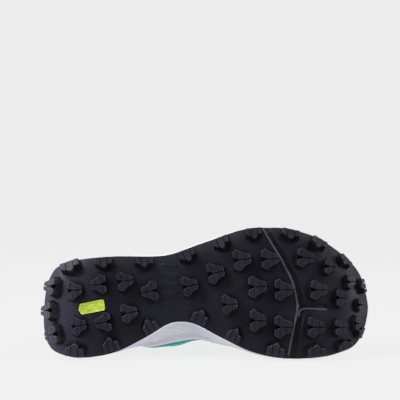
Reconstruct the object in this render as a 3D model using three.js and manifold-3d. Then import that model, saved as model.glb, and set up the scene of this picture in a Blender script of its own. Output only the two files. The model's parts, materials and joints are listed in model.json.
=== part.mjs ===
// Trail running shoe for the right foot, empty and lying on its medial side.
// The shoe is modelled in its own frame, x from heel to toe, y towards the medial side and z up from the
// ground under its lugs. Then it is laid on its side, where it rests on the sole's edge and on the collar.
import * as THREE from 'three';
import { ConvexHull } from 'three/addons/math/ConvexHull.js';
import { mergeVertices } from 'three/addons/utils/BufferGeometryUtils.js';
import Module from 'manifold-3d';

const wasm = await Module();
wasm.setup();

// Driving sizes of the whole shoe
const soleLength = 280;
const ballWidth = 113;
const collarHeight = 64;
const instepHeight = 64;
const toeSpring = 16;

// Sole
const lugHeight = 8;
const lugLong = 14.5;
const lugWide = 18.5;
const lugDraft = 1.1;
const rubber = 2.6;
const heelFoam = 20;
const forefootFoam = 10;
const archLift = 2.5;
const edgeBand = 22;
const lateralRoll = 4.4;
const medialRoll = 2.6;
const heelBevel = 9;
const toeBevel = 2;
const footLip = 8;
const lipWall = 3.2;

// Upper and what lies on it or in it
const meshWall = 2.2;
const collarPad = 6;
const marginWidth = 7;
const overlayThick = 1.1;
const overlayGap = 0.45;
const overlayStep = 3;
const capTall = 0.24;
const counterTall = 0.42;
const stayBack = 0.26;
const stayFront = 0.14;
const tongueThick = 4.5;
const insoleThick = 4;
const insoleBevel = 3;
const insoleEase = 3.2;
const laceWide = 6.5;
const laceThick = 1.6;
const eyeletBore = 4.2;
const eyeletRows = 6;
const loopWide = 14;
const loopThick = 1.6;

// Clearances
const gap = 0.3;
const softGap = 0.5;
const laceGap = 1.3;
const laceRise = 0.2;
const press = 0.4;

// Resolution: spokes round the shoe and rings up the upper's side
const spokes = 56;
const half = spokes / 2;
const lipRings = 1;
const sideRings = 5;
const tiny = 1e-3;

const V = (x, y, z) => new THREE.Vector3(x, y, z);
const mix = (a, b, t) => a + (b - a) * t;
const smooth = (a, b, x) => {
  const t = Math.min(1, Math.max(0, (x - a) / (b - a)));
  return t * t * (3 - 2 * t);
};

// Plan of the sole, as shares of its length and of the ball width, from the heel along the medial edge to the
// toe and back along the lateral edge
const plan = [
  { at: 0.000, side: 0.018 },
  { at: 0.001, side: 0.136 },
  { at: 0.010, side: 0.242 },
  { at: 0.030, side: 0.314 },
  { at: 0.069, side: 0.355 },
  { at: 0.112, side: 0.371 },
  { at: 0.216, side: 0.333 },
  { at: 0.314, side: 0.218 },
  { at: 0.387, side: 0.113 },
  { at: 0.424, side: 0.101 },
  { at: 0.461, side: 0.116 },
  { at: 0.541, side: 0.217 },
  { at: 0.639, side: 0.329 },
  { at: 0.743, side: 0.376 },
  { at: 0.856, side: 0.362 },
  { at: 0.905, side: 0.332 },
  { at: 0.948, side: 0.288 },
  { at: 0.975, side: 0.211 },
  { at: 0.991, side: 0.112 },
  { at: 1.000, side: -0.010 },
  { at: 0.994, side: -0.118 },
  { at: 0.984, side: -0.213 },
  { at: 0.964, side: -0.302 },
  { at: 0.925, side: -0.396 },
  { at: 0.842, side: -0.530 },
  { at: 0.790, side: -0.575 },
  { at: 0.740, side: -0.602 },
  { at: 0.691, side: -0.607 },
  { at: 0.622, side: -0.598 },
  { at: 0.492, side: -0.495 },
  { at: 0.387, side: -0.404 },
  { at: 0.343, side: -0.389 },
  { at: 0.207, side: -0.386 },
  { at: 0.102, side: -0.360 },
  { at: 0.065, side: -0.335 },
  { at: 0.035, side: -0.303 },
  { at: 0.019, side: -0.246 },
  { at: 0.008, side: -0.176 },
  { at: 0.002, side: -0.085 },
];
const planCurve = new THREE.CatmullRomCurve3(
  plan.map((p) => V(p.at * soleLength, p.side * ballWidth, 0)), true, 'centripetal');
planCurve.arcLengthDivisions = 1200;
const planTotal = planCurve.getLength();
const planLengths = planCurve.getLengths(1200);
const toeIndex = plan.findIndex((p) => p.at === 1);
const medialArc = planLengths[Math.round((toeIndex / plan.length) * 1200)];
const planLoop = planCurve.getPoints(360).slice(0, 360);

// A spoke's share of the way from the heel (0) to the toe (1) along its own side
const share = (k) => (k <= half ? k / half : (spokes - k) / half);
const planAt = (k) => {
  const s = share(k);
  const arc = k <= half ? s * medialArc : planTotal - s * (planTotal - medialArc);
  return planCurve.getPointAt(Math.min(1, arc / planTotal) % 1);
};
const spineStart = 0.2 * soleLength;
const spineEnd = 0.78 * soleLength;
const centreLine = (x) => -0.105 * ballWidth * smooth(0.25 * soleLength, 0.7 * soleLength, x);
const spineAt = (p) => {
  const x = Math.min(spineEnd, Math.max(spineStart, p.x));
  return V(x, centreLine(x), 0);
};
const inwards = (p, distance) => {
  const run = spineAt(p).sub(p).setZ(0);
  return p.clone().addScaledVector(run.normalize(), distance);
};

// Distance of a place on the sole from its edge
const edgeDistance = (x, y) => {
  let best = Infinity;
  for (let i = 0; i < planLoop.length; i += 1) {
    const a = planLoop[i];
    const b = planLoop[(i + 1) % planLoop.length];
    const dx = b.x - a.x;
    const dy = b.y - a.y;
    const t = Math.min(1, Math.max(0, ((x - a.x) * dx + (y - a.y) * dy) / (dx * dx + dy * dy)));
    best = Math.min(best, Math.hypot(a.x + dx * t - x, a.y + dy * t - y));
  }
  return best;
};

// Heights of the sole: its toe spring, the rubber's face between the lugs, and the bed under the foot
const springAt = (x) => toeSpring * (Math.max(0, x - 0.72 * soleLength) / (0.28 * soleLength)) ** 2;
const treadAt = (x, y) => {
  const medial = smooth(-0.1 * ballWidth, 0.1 * ballWidth, y);
  const roll = mix(lateralRoll, medialRoll, medial)
    + heelBevel * (1 - smooth(0, 0.14 * soleLength, x)) + toeBevel * smooth(0.88 * soleLength, soleLength, x);
  const edge = Math.max(0, 1 - edgeDistance(x, y) / edgeBand) ** 2;
  const arch = archLift * smooth(0.28 * soleLength, 0.4 * soleLength, x)
    * (1 - smooth(0.5 * soleLength, 0.62 * soleLength, x));
  return lugHeight + springAt(x) + roll * edge + arch;
};
const bedAt = (x) => lugHeight + rubber + springAt(x)
  + mix(heelFoam, forefootFoam, smooth(0.25 * soleLength, 0.7 * soleLength, x));

// The last: one row for each section from heel (0) to toe (1). Inset is from the sole's edge in to the foot,
// edge, out and rise place the upper's top edge, belly is the bulge low on the side, turn is how high the side
// stands before it turns in, and lean says whether it stands (0) or lies (1) where it ends.
const lastColumns = ['s', 'insetM', 'insetL', 'edge', 'out', 'rise', 'belly', 'turn', 'lean'];
const lastRows = [
  [0.00, 0.070, 0.070, 0.034, 0.000, 1.00, 0.034, 0.40, 0.00],
  [0.05, 0.072, 0.072, 0.047, 0.110, 0.98, 0.032, 0.40, 0.00],
  [0.11, 0.075, 0.075, 0.086, 0.216, 0.90, 0.028, 0.42, 0.00],
  [0.18, 0.070, 0.072, 0.150, 0.282, 0.79, 0.020, 0.46, 0.02],
  [0.25, 0.072, 0.060, 0.220, 0.296, 0.75, 0.014, 0.48, 0.04],
  [0.31, 0.000, 0.045, 0.285, 0.280, 0.80, 0.008, 0.52, 0.10],
  [0.37, -0.095, 0.035, 0.345, 0.235, 0.93, 0.004, 0.56, 0.24],
  [0.43, -0.138, 0.032, 0.395, 0.182, 1.03, 0.002, 0.58, 0.42],
  [0.52, -0.055, 0.040, 0.470, 0.160, 0.98, 0.002, 0.62, 0.60],
  [0.60, 0.028, 0.050, 0.550, 0.142, 0.86, 0.000, 0.68, 0.72],
  [0.67, 0.050, 0.055, 0.620, 0.122, 0.76, 0.000, 0.74, 0.80],
  [0.75, 0.055, 0.055, 0.672, 0.092, 0.69, 0.000, 0.82, 0.87],
  [0.84, 0.050, 0.052, 0.698, 0.055, 0.665, 0.004, 0.90, 0.92],
  [0.92, 0.046, 0.048, 0.708, 0.026, 0.655, 0.008, 0.96, 0.94],
  [1.00, 0.044, 0.044, 0.711, 0.000, 0.65, 0.010, 1.00, 0.94],
].map((row) => Object.fromEntries(lastColumns.map((name, i) => [name, row[i]])));

// A smooth curve through one column of the rows, mirrored past both ends with the given sign
const column = (name, sign = 1) => {
  const first = lastRows[1];
  const last = lastRows[lastRows.length - 2];
  const points = [
    { s: -first.s, v: sign * first[name] },
    ...lastRows.map((row) => ({ s: row.s, v: row[name] })),
    { s: 2 - last.s, v: sign * last[name] },
  ];
  const slope = (i) => (points[i + 1].v - points[i - 1].v) / (points[i + 1].s - points[i - 1].s);
  return (s) => {
    let i = 1;
    while (i < points.length - 3 && s > points[i + 1].s) i += 1;
    const h = points[i + 1].s - points[i].s;
    const t = (s - points[i].s) / h;
    return (2 * t ** 3 - 3 * t ** 2 + 1) * points[i].v + (t ** 3 - 2 * t ** 2 + t) * h * slope(i)
      + (3 * t ** 2 - 2 * t ** 3) * points[i + 1].v + (t ** 3 - t ** 2) * h * slope(i + 1);
  };
};
const last = {
  insetM: column('insetM'),
  insetL: column('insetL'),
  edge: column('edge'),
  out: column('out', -1),
  rise: column('rise'),
  belly: column('belly'),
  turn: column('turn'),
  lean: column('lean'),
};

// One spoke of the upper: foot of the side, two handles and the top edge, as a cubic curve
const spokeAt = (k) => {
  const s = share(k);
  const medial = k <= half;
  const rim = planAt(k);
  const foot = inwards(rim, (medial ? last.insetM(s) : last.insetL(s)) * ballWidth);
  foot.z = bedAt(foot.x) + gap;
  const x = last.edge(s) * soleLength;
  const y = centreLine(x) + (medial ? 1 : -1) * last.out(s) * ballWidth;
  const reach = mix(collarHeight, instepHeight, smooth(0.3, 0.5, s));
  const top = V(x, y, lugHeight + rubber + heelFoam + last.rise(s) * reach);
  const outward = V(foot.x - top.x, foot.y - top.y, 0);
  const run = outward.length();
  outward.normalize();
  const climb = top.z - foot.z;
  const low = foot.clone().addScaledVector(outward, last.belly(s) * ballWidth);
  low.z += last.turn(s) * climb;
  const lean = last.lean(s);
  const arm = 0.45 * Math.hypot(run, climb * (1 - lean));
  const high = top.clone().addScaledVector(outward, lean * arm);
  high.z -= (1 - lean) * arm;
  return { foot, low, high, top };
};
const onSpoke = (spoke, v) => {
  const w = 1 - v;
  return V(0, 0, 0)
    .addScaledVector(spoke.foot, w * w * w)
    .addScaledVector(spoke.low, 3 * w * w * v)
    .addScaledVector(spoke.high, 3 * w * v * v)
    .addScaledVector(spoke.top, v * v * v);
};
const turnRound = (k) => (k + spokes) % spokes;
const skin = (k, v) => onSpoke(spokeAt(turnRound(k)), v);
const skinNormal = (k, v) => {
  const along = skin(k + 0.25, v).sub(skin(k - 0.25, v));
  const up = skin(k, Math.min(1, v + 0.02)).sub(skin(k, Math.max(0, v - 0.02)));
  return up.cross(along).normalize();
};

// Ring places on a spoke: the first ones stay under the midsole's lip, the others share the rest
const lipShare = (k) => {
  const spoke = spokeAt(k);
  return footLip / (3 * spoke.low.distanceTo(spoke.foot));
};
const rings = lipRings + sideRings;
const ringShare = (k, j) => {
  const lip = lipShare(k);
  return j <= lipRings ? (lip * j) / lipRings : mix(lip, 1, (j - lipRings) / sideRings);
};
const spokeGrid = [];
for (let k = 0; k < spokes; k += 1) {
  const row = [];
  for (let j = 0; j <= rings; j += 1) {
    const v = ringShare(k, j);
    row.push({ v, point: skin(k, v), normal: skinNormal(k, v) });
  }
  spokeGrid.push(row);
}
const cell = (k, j) => spokeGrid[turnRound(k)][j];
const offset = (k, j, distance) => cell(k, j).point.clone().addScaledVector(cell(k, j).normal, distance);
const wallAt = (k, j) => {
  const s = share(turnRound(k));
  const v = cell(k, j).v;
  return meshWall + (collarPad - meshWall) * (1 - smooth(0.3, 0.42, s)) * smooth(0.45, 0.85, v);
};

// Meshes: loose triangles are gathered and merged into one closed body
const solidFrom = (triangles) => {
  const flat = [];
  let volume = 0;
  for (const [a, b, c] of triangles) {
    volume += a.dot(b.clone().cross(c));
  }
  for (const [a, b, c] of triangles) {
    const order = volume > 0 ? [a, b, c] : [a, c, b];
    for (const p of order) flat.push(p.x, p.y, p.z);
  }
  const geometry = new THREE.BufferGeometry();
  geometry.setAttribute('position', new THREE.Float32BufferAttribute(flat, 3));
  return toSolid(geometry);
};
const toSolid = (geometry) => {
  const bare = geometry.clone();
  bare.deleteAttribute('normal');
  bare.deleteAttribute('uv');
  const merged = mergeVertices(bare.index ? bare.toNonIndexed() : bare, tiny);
  const index = merged.index.array;
  const kept = [];
  for (let i = 0; i < index.length; i += 3) {
    const [a, b, c] = [index[i], index[i + 1], index[i + 2]];
    if (a !== b && b !== c && c !== a) kept.push(a, b, c);
  }
  return new wasm.Manifold(new wasm.Mesh({
    numProp: 3,
    vertProperties: new Float32Array(merged.attributes.position.array),
    triVerts: new Uint32Array(kept),
  }));
};
const toGeometry = (solid) => {
  const mesh = solid.getMesh();
  const geometry = new THREE.BufferGeometry();
  const places = new Float32Array(mesh.numVert * 3);
  for (let i = 0; i < mesh.numVert; i += 1) {
    for (let c = 0; c < 3; c += 1) places[i * 3 + c] = mesh.vertProperties[i * mesh.numProp + c];
  }
  geometry.setAttribute('position', new THREE.BufferAttribute(places, 3));
  geometry.setIndex(new THREE.BufferAttribute(new Uint32Array(mesh.triVerts), 1));
  return geometry;
};
const quad = (list, a, b, c, d) => {
  if (a.distanceToSquared(c) < b.distanceToSquared(d)) list.push([a, b, c], [a, c, d]);
  else list.push([a, b, d], [b, c, d]);
};

// Closed body from sections, one for each spoke, each a closed loop of points
const ringBody = (sections) => {
  const list = [];
  const n = sections.length;
  const m = sections[0].length;
  for (let k = 0; k < n; k += 1) {
    for (let j = 0; j < m; j += 1) {
      const next = sections[(k + 1) % n];
      quad(list, sections[k][j], next[j], next[(j + 1) % m], sections[k][(j + 1) % m]);
    }
  }
  return solidFrom(list);
};

// Closed body from open sections, with the first and last ring bridged across from side to side
const slabBody = (sections) => {
  const list = [];
  const n = sections.length;
  const m = sections[0].length;
  for (let k = 0; k < n; k += 1) {
    for (let j = 0; j < m - 1; j += 1) {
      const next = sections[(k + 1) % n];
      quad(list, sections[k][j], next[j], next[j + 1], sections[k][j + 1]);
    }
  }
  const bridge = (j, flip) => {
    const at = (k) => sections[(k + n) % n][j];
    for (let k = 0; k < n / 2; k += 1) {
      const [a, b, c, d] = [at(k), at(k + 1), at(n - k - 1), at(n - k)];
      const faces = [];
      if (k === 0) faces.push([a, b, c]);
      else if (k === n / 2 - 1) faces.push([a, b, d]);
      else quad(faces, a, b, c, d);
      for (const [p, q, r] of faces) list.push(flip ? [p, r, q] : [p, q, r]);
    }
  };
  bridge(0, true);
  bridge(m - 1, false);
  return solidFrom(list);
};

// Closed body between two grids of the same size, rows by columns
const sheetBody = (outer, inner) => {
  const list = [];
  const n = outer.length;
  const m = outer[0].length;
  for (let i = 0; i < n - 1; i += 1) {
    for (let j = 0; j < m - 1; j += 1) {
      quad(list, outer[i][j], outer[i + 1][j], outer[i + 1][j + 1], outer[i][j + 1]);
      quad(list, inner[i][j + 1], inner[i + 1][j + 1], inner[i + 1][j], inner[i][j]);
    }
    quad(list, outer[i + 1][0], outer[i][0], inner[i][0], inner[i + 1][0]);
    quad(list, outer[i][m - 1], outer[i + 1][m - 1], inner[i + 1][m - 1], inner[i][m - 1]);
  }
  for (let j = 0; j < m - 1; j += 1) {
    quad(list, outer[0][j], outer[0][j + 1], inner[0][j + 1], inner[0][j]);
    quad(list, outer[n - 1][j + 1], outer[n - 1][j], inner[n - 1][j], inner[n - 1][j + 1]);
  }
  return solidFrom(list);
};

// Directions on the tread: its outward normal, and a frame turned by an angle seen from below
const treadNormal = (x, y) => {
  const e = 0.5;
  const slopeX = (treadAt(x + e, y) - treadAt(x - e, y)) / (2 * e);
  const slopeY = (treadAt(x, y + e) - treadAt(x, y - e)) / (2 * e);
  return V(slopeX, slopeY, -1).normalize();
};
const treadPoint = (x, y) => V(x, y, treadAt(x, y));

// A drafted block standing on the tread, from its tip's outline in its own along and across sizes
const sunk = 1.2;
const block = (x, y, angle, outline, long, wide, height) => {
  const up = treadNormal(x, y);
  const along = V(Math.cos(angle), Math.sin(angle), 0);
  along.addScaledVector(up, -along.dot(up)).normalize();
  const across = up.clone().cross(along).multiplyScalar(-1);
  const base = treadPoint(x, y);
  const place = ([u, v], grow, lift) => base.clone()
    .addScaledVector(along, u * (long + grow))
    .addScaledVector(across, v * (wide + grow))
    .addScaledVector(up, lift);
  const tip = outline.map((p) => place(p, 0, height));
  const root = outline.map((p) => place(p, 2 * lugDraft, -sunk));
  const faces = THREE.ShapeUtils.triangulateShape(outline.map(([u, v]) => new THREE.Vector2(u, v)), []);
  const list = [];
  for (const [a, b, c] of faces) {
    list.push([tip[a], tip[b], tip[c]], [root[a], root[c], root[b]]);
  }
  const n = outline.length;
  for (let i = 0; i < n; i += 1) {
    const j = (i + 1) % n;
    quad(list, tip[j], tip[i], root[i], root[j]);
  }
  return solidFrom(list);
};

// Claw lug: three toes at one end, a notch between them, a narrow stem at the other end
const clawOutline = [
  [-0.50, -0.35], [-0.245, -0.50], [0.17, -0.28], [0.50, -0.17], [0.50, 0.17], [0.17, 0.28],
  [-0.245, 0.50], [-0.50, 0.35], [-0.50, 0.12], [-0.15, 0], [-0.50, -0.12],
];
// Edge lug: flat along the sole's edge, with its point towards the middle of the sole
const wedgeOutline = [
  [-0.50, -0.50], [0.50, -0.50], [0.50, 0.10], [0.25, 0.22], [0.08, 0.50], [-0.22, 0.22], [-0.50, 0.18],
];

// Claw lugs: share of the length, share of the ball width, size against the standard lug, turn in degrees
const claws = [
  { at: 0.449, side: -0.163, long: 0.89, wide: 0.98, turn: -13 },
  { at: 0.529, side: -0.261, long: 0.98, wide: 1.03, turn: -12 },
  { at: 0.608, side: -0.358, long: 1.01, wide: 1.03, turn: -8 },
  { at: 0.692, side: -0.362, long: 1.01, wide: 0.98, turn: -3 },
  { at: 0.571, side: -0.023, long: 0.86, wide: 0.98, turn: -5 },
  { at: 0.653, side: -0.154, long: 1.04, wide: 1.05, turn: -2 },
  { at: 0.732, side: -0.131, long: 1.01, wide: 1.03, turn: -1 },
  { at: 0.654, side: 0.098, long: 0.92, wide: 1.07, turn: 0 },
  { at: 0.730, side: 0.146, long: 1.01, wide: 1.07, turn: 0 },
  { at: 0.797, side: -0.373, long: 0.95, wide: 0.93, turn: 3 },
  { at: 0.873, side: -0.303, long: 0.74, wide: 0.72, turn: 4 },
  { at: 0.836, side: -0.132, long: 0.95, wide: 0.96, turn: 0 },
  { at: 0.935, side: -0.193, long: 0.54, wide: 0.60, turn: -5 },
  { at: 0.908, side: -0.074, long: 0.74, wide: 0.84, turn: 0 },
  { at: 0.966, side: -0.020, long: 0.54, wide: 0.52, turn: 0 },
  { at: 0.826, side: 0.146, long: 0.95, wide: 1.00, turn: 0 },
  { at: 0.902, side: 0.147, long: 0.71, wide: 0.75, turn: 0 },
  { at: 0.957, side: 0.115, long: 0.54, wide: 0.65, turn: 0 },
  { at: 0.100, side: -0.128, long: 0.80, wide: 0.93, turn: -6 },
  { at: 0.171, side: -0.171, long: 0.86, wide: 0.93, turn: 174 },
  { at: 0.252, side: -0.197, long: 0.89, wide: 0.93, turn: -9 },
  { at: 0.323, side: -0.120, long: 0.92, wide: 0.96, turn: 171 },
  { at: 0.114, side: 0.135, long: 0.80, wide: 0.91, turn: -10 },
  { at: 0.186, side: 0.111, long: 0.89, wide: 0.93, turn: 171 },
  { at: 0.265, side: 0.040, long: 0.92, wide: 0.93, turn: -12 },
  { at: 0.035, side: -0.153, long: 0.84, wide: 0.88, turn: 188 },
  { at: 0.026, side: 0.025, long: 0.76, wide: 0.88, turn: 180 },
  { at: 0.040, side: 0.197, long: 0.84, wide: 0.88, turn: 168 },
];
// Edge lugs: share of the way from heel to toe along their side, and size against the standard edge lug
const wedgeLong = 14;
const wedgeDeep = 10;
const wedges = [
  { s: 0.150, medial: false, long: 1.15, deep: 1.00 },
  { s: 0.234, medial: false, long: 0.95, deep: 0.95 },
  { s: 0.333, medial: false, long: 1.00, deep: 0.92 },
  { s: 0.436, medial: false, long: 1.00, deep: 1.05 },
  { s: 0.526, medial: false, long: 0.98, deep: 1.05 },
  { s: 0.612, medial: false, long: 0.90, deep: 0.95 },
  { s: 0.706, medial: false, long: 1.05, deep: 0.85 },
  { s: 0.781, medial: false, long: 0.92, deep: 0.85 },
  { s: 0.862, medial: false, long: 0.85, deep: 0.70 },
  { s: 0.945, medial: false, long: 0.80, deep: 0.60 },
  { s: 0.164, medial: true, long: 1.10, deep: 1.12 },
  { s: 0.258, medial: true, long: 0.88, deep: 1.20 },
  { s: 0.367, medial: true, long: 0.86, deep: 1.12 },
  { s: 0.483, medial: true, long: 0.90, deep: 1.15 },
  { s: 0.577, medial: true, long: 0.82, deep: 1.15 },
  { s: 0.689, medial: true, long: 1.00, deep: 1.05 },
  { s: 0.791, medial: true, long: 1.08, deep: 0.95 },
  { s: 0.867, medial: true, long: 0.95, deep: 0.70 },
  { s: 0.930, medial: true, long: 0.65, deep: 0.55 },
];
const wedgeSetback = 1.2;
const toeLugShare = 0.75;
const lugHeightAt = (x) => lugHeight * mix(1, toeLugShare, smooth(0.82 * soleLength, 0.95 * soleLength, x));

const lugSolids = () => {
  const solids = claws.map((lug) => {
    const x = lug.at * soleLength;
    const turn = THREE.MathUtils.degToRad(lug.turn);
    return block(x, lug.side * ballWidth, turn, clawOutline, lug.long * lugLong, lug.wide * lugWide,
      lugHeightAt(x));
  });
  for (const lug of wedges) {
    const k = lug.medial ? lug.s * half : spokes - lug.s * half;
    const rim = planAt(k);
    const ahead = planAt(k + 0.4).sub(planAt(k - 0.4));
    if (ahead.x < 0) ahead.negate();
    const angle = Math.atan2(ahead.y, ahead.x);
    const deep = lug.deep * wedgeDeep;
    const inner = V(ahead.y, -ahead.x, 0).normalize();
    if (!lug.medial) inner.negate();
    const centre = rim.clone().addScaledVector(inner, wedgeSetback + lugDraft + deep / 2);
    const outline = lug.medial ? wedgeOutline.map(([u, v]) => [u, -v]).reverse() : wedgeOutline;
    const long = lug.long * wedgeLong;
    solids.push(block(centre.x, centre.y, angle, outline, long, deep, lugHeightAt(centre.x)));
  }
  return solids;
};

// A strip that follows a path over the tread, from one height to another against the rubber's face
const treadStrip = (path, width, from, to) => {
  const curve = new THREE.CatmullRomCurve3(
    path.map((p) => V(p.at * soleLength, p.side * ballWidth, 0)), false, 'centripetal');
  const steps = Math.round(path.length * 1.5);
  const rows = { low: [], high: [] };
  for (let i = 0; i <= steps; i += 1) {
    const p = curve.getPoint(i / steps);
    const t = curve.getTangent(i / steps);
    const edges = [-0.5, 0.5].map((e) => V(p.x - t.y * e * width, p.y + t.x * e * width, 0));
    rows.low.push(edges.map((q) => V(q.x, q.y, treadAt(q.x, q.y) + from)));
    rows.high.push(edges.map((q) => V(q.x, q.y, treadAt(q.x, q.y) + to)));
  }
  return sheetBody(rows.high, rows.low);
};
// The long flex groove across the ball, with a raised bead on its heel side, and its branch to the toe
const beadPath = [
  { at: 0.665, side: -0.640 }, { at: 0.681, side: -0.556 }, { at: 0.696, side: -0.494 },
  { at: 0.730, side: -0.348 }, { at: 0.757, side: -0.211 }, { at: 0.772, side: -0.074 },
  { at: 0.774, side: -0.006 }, { at: 0.771, side: 0.063 }, { at: 0.757, side: 0.213 },
  { at: 0.742, side: 0.400 },
];
const groovePath = beadPath.map((p) => ({ at: p.at + 0.0135, side: p.side + 0.004 }));
const branchPath = [{ at: 0.785, side: -0.020 }, { at: 0.825, side: -0.018 }, { at: 0.863, side: -0.014 }];
const beadWide = 1.6;
const beadHigh = 0.7;
const grooveWide = 5;
const grooveDeep = 1.3;
const branchWide = 4;
// Plain slanted ribs across the narrow of the sole
const archRibs = { count: 6, from: -0.32, to: 0.03, at: 0.386, slant: 0.012, long: 0.040, wide: 3, high: 0.6 };

// Pocket under the heel and the insert in it, the same outline at two sizes
const badge = { at: 0.149, side: -0.004, turn: -11, long: 22.6, wide: 9.6, deep: 1.3, proud: 0.35, border: 0.9 };
const badgeOutline = [
  [-0.50, 0.05], [-0.42, -0.42], [-0.36, -0.50], [0.44, -0.50], [0.50, -0.42], [0.50, 0.42], [0.44, 0.50],
  [-0.36, 0.50], [-0.42, 0.46],
];
const badgeBlock = (grow, from, to) => {
  const x = badge.at * soleLength;
  const y = badge.side * ballWidth;
  const angle = THREE.MathUtils.degToRad(badge.turn);
  const z = treadAt(x, y);
  const points = badgeOutline.map(([u, v]) => {
    const a = u * (badge.long + 2 * grow);
    const b = v * (badge.wide + 2 * grow);
    const turned = new THREE.Vector2(a, b).rotateAround(new THREE.Vector2(0, 0), angle);
    return turned.add(new THREE.Vector2(x, y));
  });
  const prism = new THREE.ExtrudeGeometry(new THREE.Shape(points), { depth: to - from, bevelEnabled: false });
  prism.translate(0, 0, z + from);
  return toSolid(prism);
};

// Outsole: rubber sheet with its lugs joined on, grooves and the badge's pocket cut
const treadInsets = [0, 3.5, 10, 22];
const makeOutsole = () => {
  const sections = [];
  for (let k = 0; k < spokes; k += 1) {
    const rim = planAt(k);
    const places = treadInsets.map((d) => inwards(rim, d));
    const under = places.map((p) => treadPoint(p.x, p.y)).reverse();
    const over = places.map((p) => treadPoint(p.x, p.y).add(V(0, 0, rubber)));
    sections.push([...under, ...over]);
  }
  let solid = slabBody(sections);
  solid = solid.subtract(treadStrip(groovePath, grooveWide, -lugHeight / 2, grooveDeep));
  solid = solid.subtract(treadStrip(branchPath, branchWide, -lugHeight / 2, grooveDeep));
  solid = solid.subtract(badgeBlock(badge.border, -lugHeight / 2, badge.deep));
  solid = solid.add(treadStrip(beadPath, beadWide, -beadHigh, rubber / 2).intersect(soleColumn()));
  for (let i = 0; i < archRibs.count; i += 1) {
    const side = mix(archRibs.from, archRibs.to, i / (archRibs.count - 1));
    const path = [-0.5, 0, 0.5].map((t) => ({
      at: archRibs.at + t * archRibs.long, side: side + t * archRibs.slant,
    }));
    solid = solid.add(treadStrip(path, archRibs.wide, -archRibs.high, rubber / 2));
  }
  for (const lug of lugSolids()) solid = solid.add(lug);
  return solid;
};
// Everything over and under the sole's plan, to trim what runs past its edge
const soleColumn = () => {
  const places = planLoop.filter((p, i) => i % 3 === 0).map((p) => new THREE.Vector2(p.x, p.y));
  const shape = new THREE.Shape(places);
  const prism = new THREE.ExtrudeGeometry(shape, { depth: 4 * lugHeight, bevelEnabled: false });
  prism.translate(0, 0, -lugHeight / 2);
  return toSolid(prism);
};

// Midsole: seated on the rubber, stepped side, lip round the upper, bed under the foot. A step has its share of
// the way from the rubber up to the lip and how far it stands out.
const footInset = 0.8;
const bedInset = 16;
const sideSteps = [{ at: 0.16, swell: 1.5 }, { at: 0.42, swell: 2.1 }, { at: 0.52, swell: 0.9 }];
const makeMidsole = () => {
  const sections = [];
  for (let k = 0; k < spokes; k += 1) {
    const rim = planAt(k);
    const under = treadInsets.slice(1).map((d) => inwards(rim, d));
    const start = inwards(rim, footInset);
    const seat = (p) => V(p.x, p.y, treadAt(p.x, p.y) + rubber + gap);
    const section = [...under.reverse().map(seat), seat(start)];
    const foot = section[section.length - 1];
    const lipOut = offset(k, lipRings, gap + lipWall);
    for (const step of sideSteps) {
      const p = foot.clone().lerp(lipOut, step.at);
      section.push(inwards(p, -step.swell));
    }
    section.push(lipOut);
    const lipTop = offset(k, lipRings, gap + lipWall / 2);
    lipTop.z += lipWall / 3;
    section.push(lipTop, offset(k, lipRings, gap));
    for (let j = lipRings - 1; j >= 1; j -= 1) section.push(offset(k, j, gap));
    const corner = offset(k, 0, gap);
    const bed = (p) => V(p.x, p.y, bedAt(p.x));
    section.push(bed(corner), bed(inwards(corner, marginWidth)), bed(inwards(corner, bedInset)));
    sections.push(section);
  }
  return slabBody(sections);
};

// Upper: outer skin, padded edge, inner skin and the margin turned in under the foot
const crestShare = 0.35;
const makeUpper = () => {
  const sections = [];
  for (let k = 0; k < spokes; k += 1) {
    const outer = [];
    const inner = [];
    for (let j = 0; j <= rings; j += 1) {
      outer.push(offset(k, j, 0));
      inner.push(offset(k, j, -wallAt(k, j)));
    }
    const foot = outer[0];
    const corner = inwards(foot, meshWall).setZ(bedAt(foot.x) + gap + meshWall);
    inner[0] = corner;
    const endLow = inwards(foot, marginWidth);
    endLow.z = bedAt(endLow.x) + gap;
    const endHigh = endLow.clone().setZ(endLow.z + meshWall);
    const rise = outer[rings].clone().sub(outer[rings - 1]).normalize();
    const crest = outer[rings].clone().lerp(inner[rings], 0.5)
      .addScaledVector(rise, wallAt(k, rings) * crestShare);
    sections.push([endLow, ...outer, crest, ...inner.reverse(), endHigh]);
  }
  return ringBody(sections);
};

// Overlays on the upper, cut out of its own skin between two offsets, over a range of spokes. Each spoke gives
// the shares of the side where the overlay starts and ends.
const overlay = (from, to, steps, range) => {
  const low = [];
  const high = [];
  for (let k = from; k <= to; k += 1) {
    const [start, end] = range(k);
    const row = [];
    for (let j = 0; j <= steps; j += 1) {
      const v = mix(start, end, j / steps);
      row.push({ point: skin(k, v), normal: skinNormal(turnRound(k), v) });
    }
    low.push(row.map((q) => q.point.clone().addScaledVector(q.normal, overlayGap)));
    high.push(row.map((q) => q.point.clone().addScaledVector(q.normal, overlayGap + overlayThick)));
  }
  return sheetBody(high, low);
};
const aboveLip = (k) => lipShare(turnRound(k)) * (1 + overlayStep / footLip);
const capSpan = Math.round(half * 0.30);
const counterSpan = Math.round(half * 0.24);
const stayStart = Math.round(half * 0.38);
const taper = (k, middle, span) => 1 - (Math.abs(k - middle) / span) ** 2;
const makeToeCap = () => overlay(half - capSpan, half + capSpan, 4,
  (k) => [aboveLip(k), aboveLip(k) + 0.05 + capTall * taper(k, half, capSpan)]);
const makeCounter = () => overlay(-counterSpan, counterSpan, 4,
  (k) => [aboveLip(k), aboveLip(k) + 0.10 + counterTall * taper(k, 0, counterSpan)]);
const makeEyestay = () => overlay(stayStart, spokes - stayStart, 2,
  (k) => [1 - mix(stayBack, stayFront, smooth(0.4, 0.8, share(k))), 1]);

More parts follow.
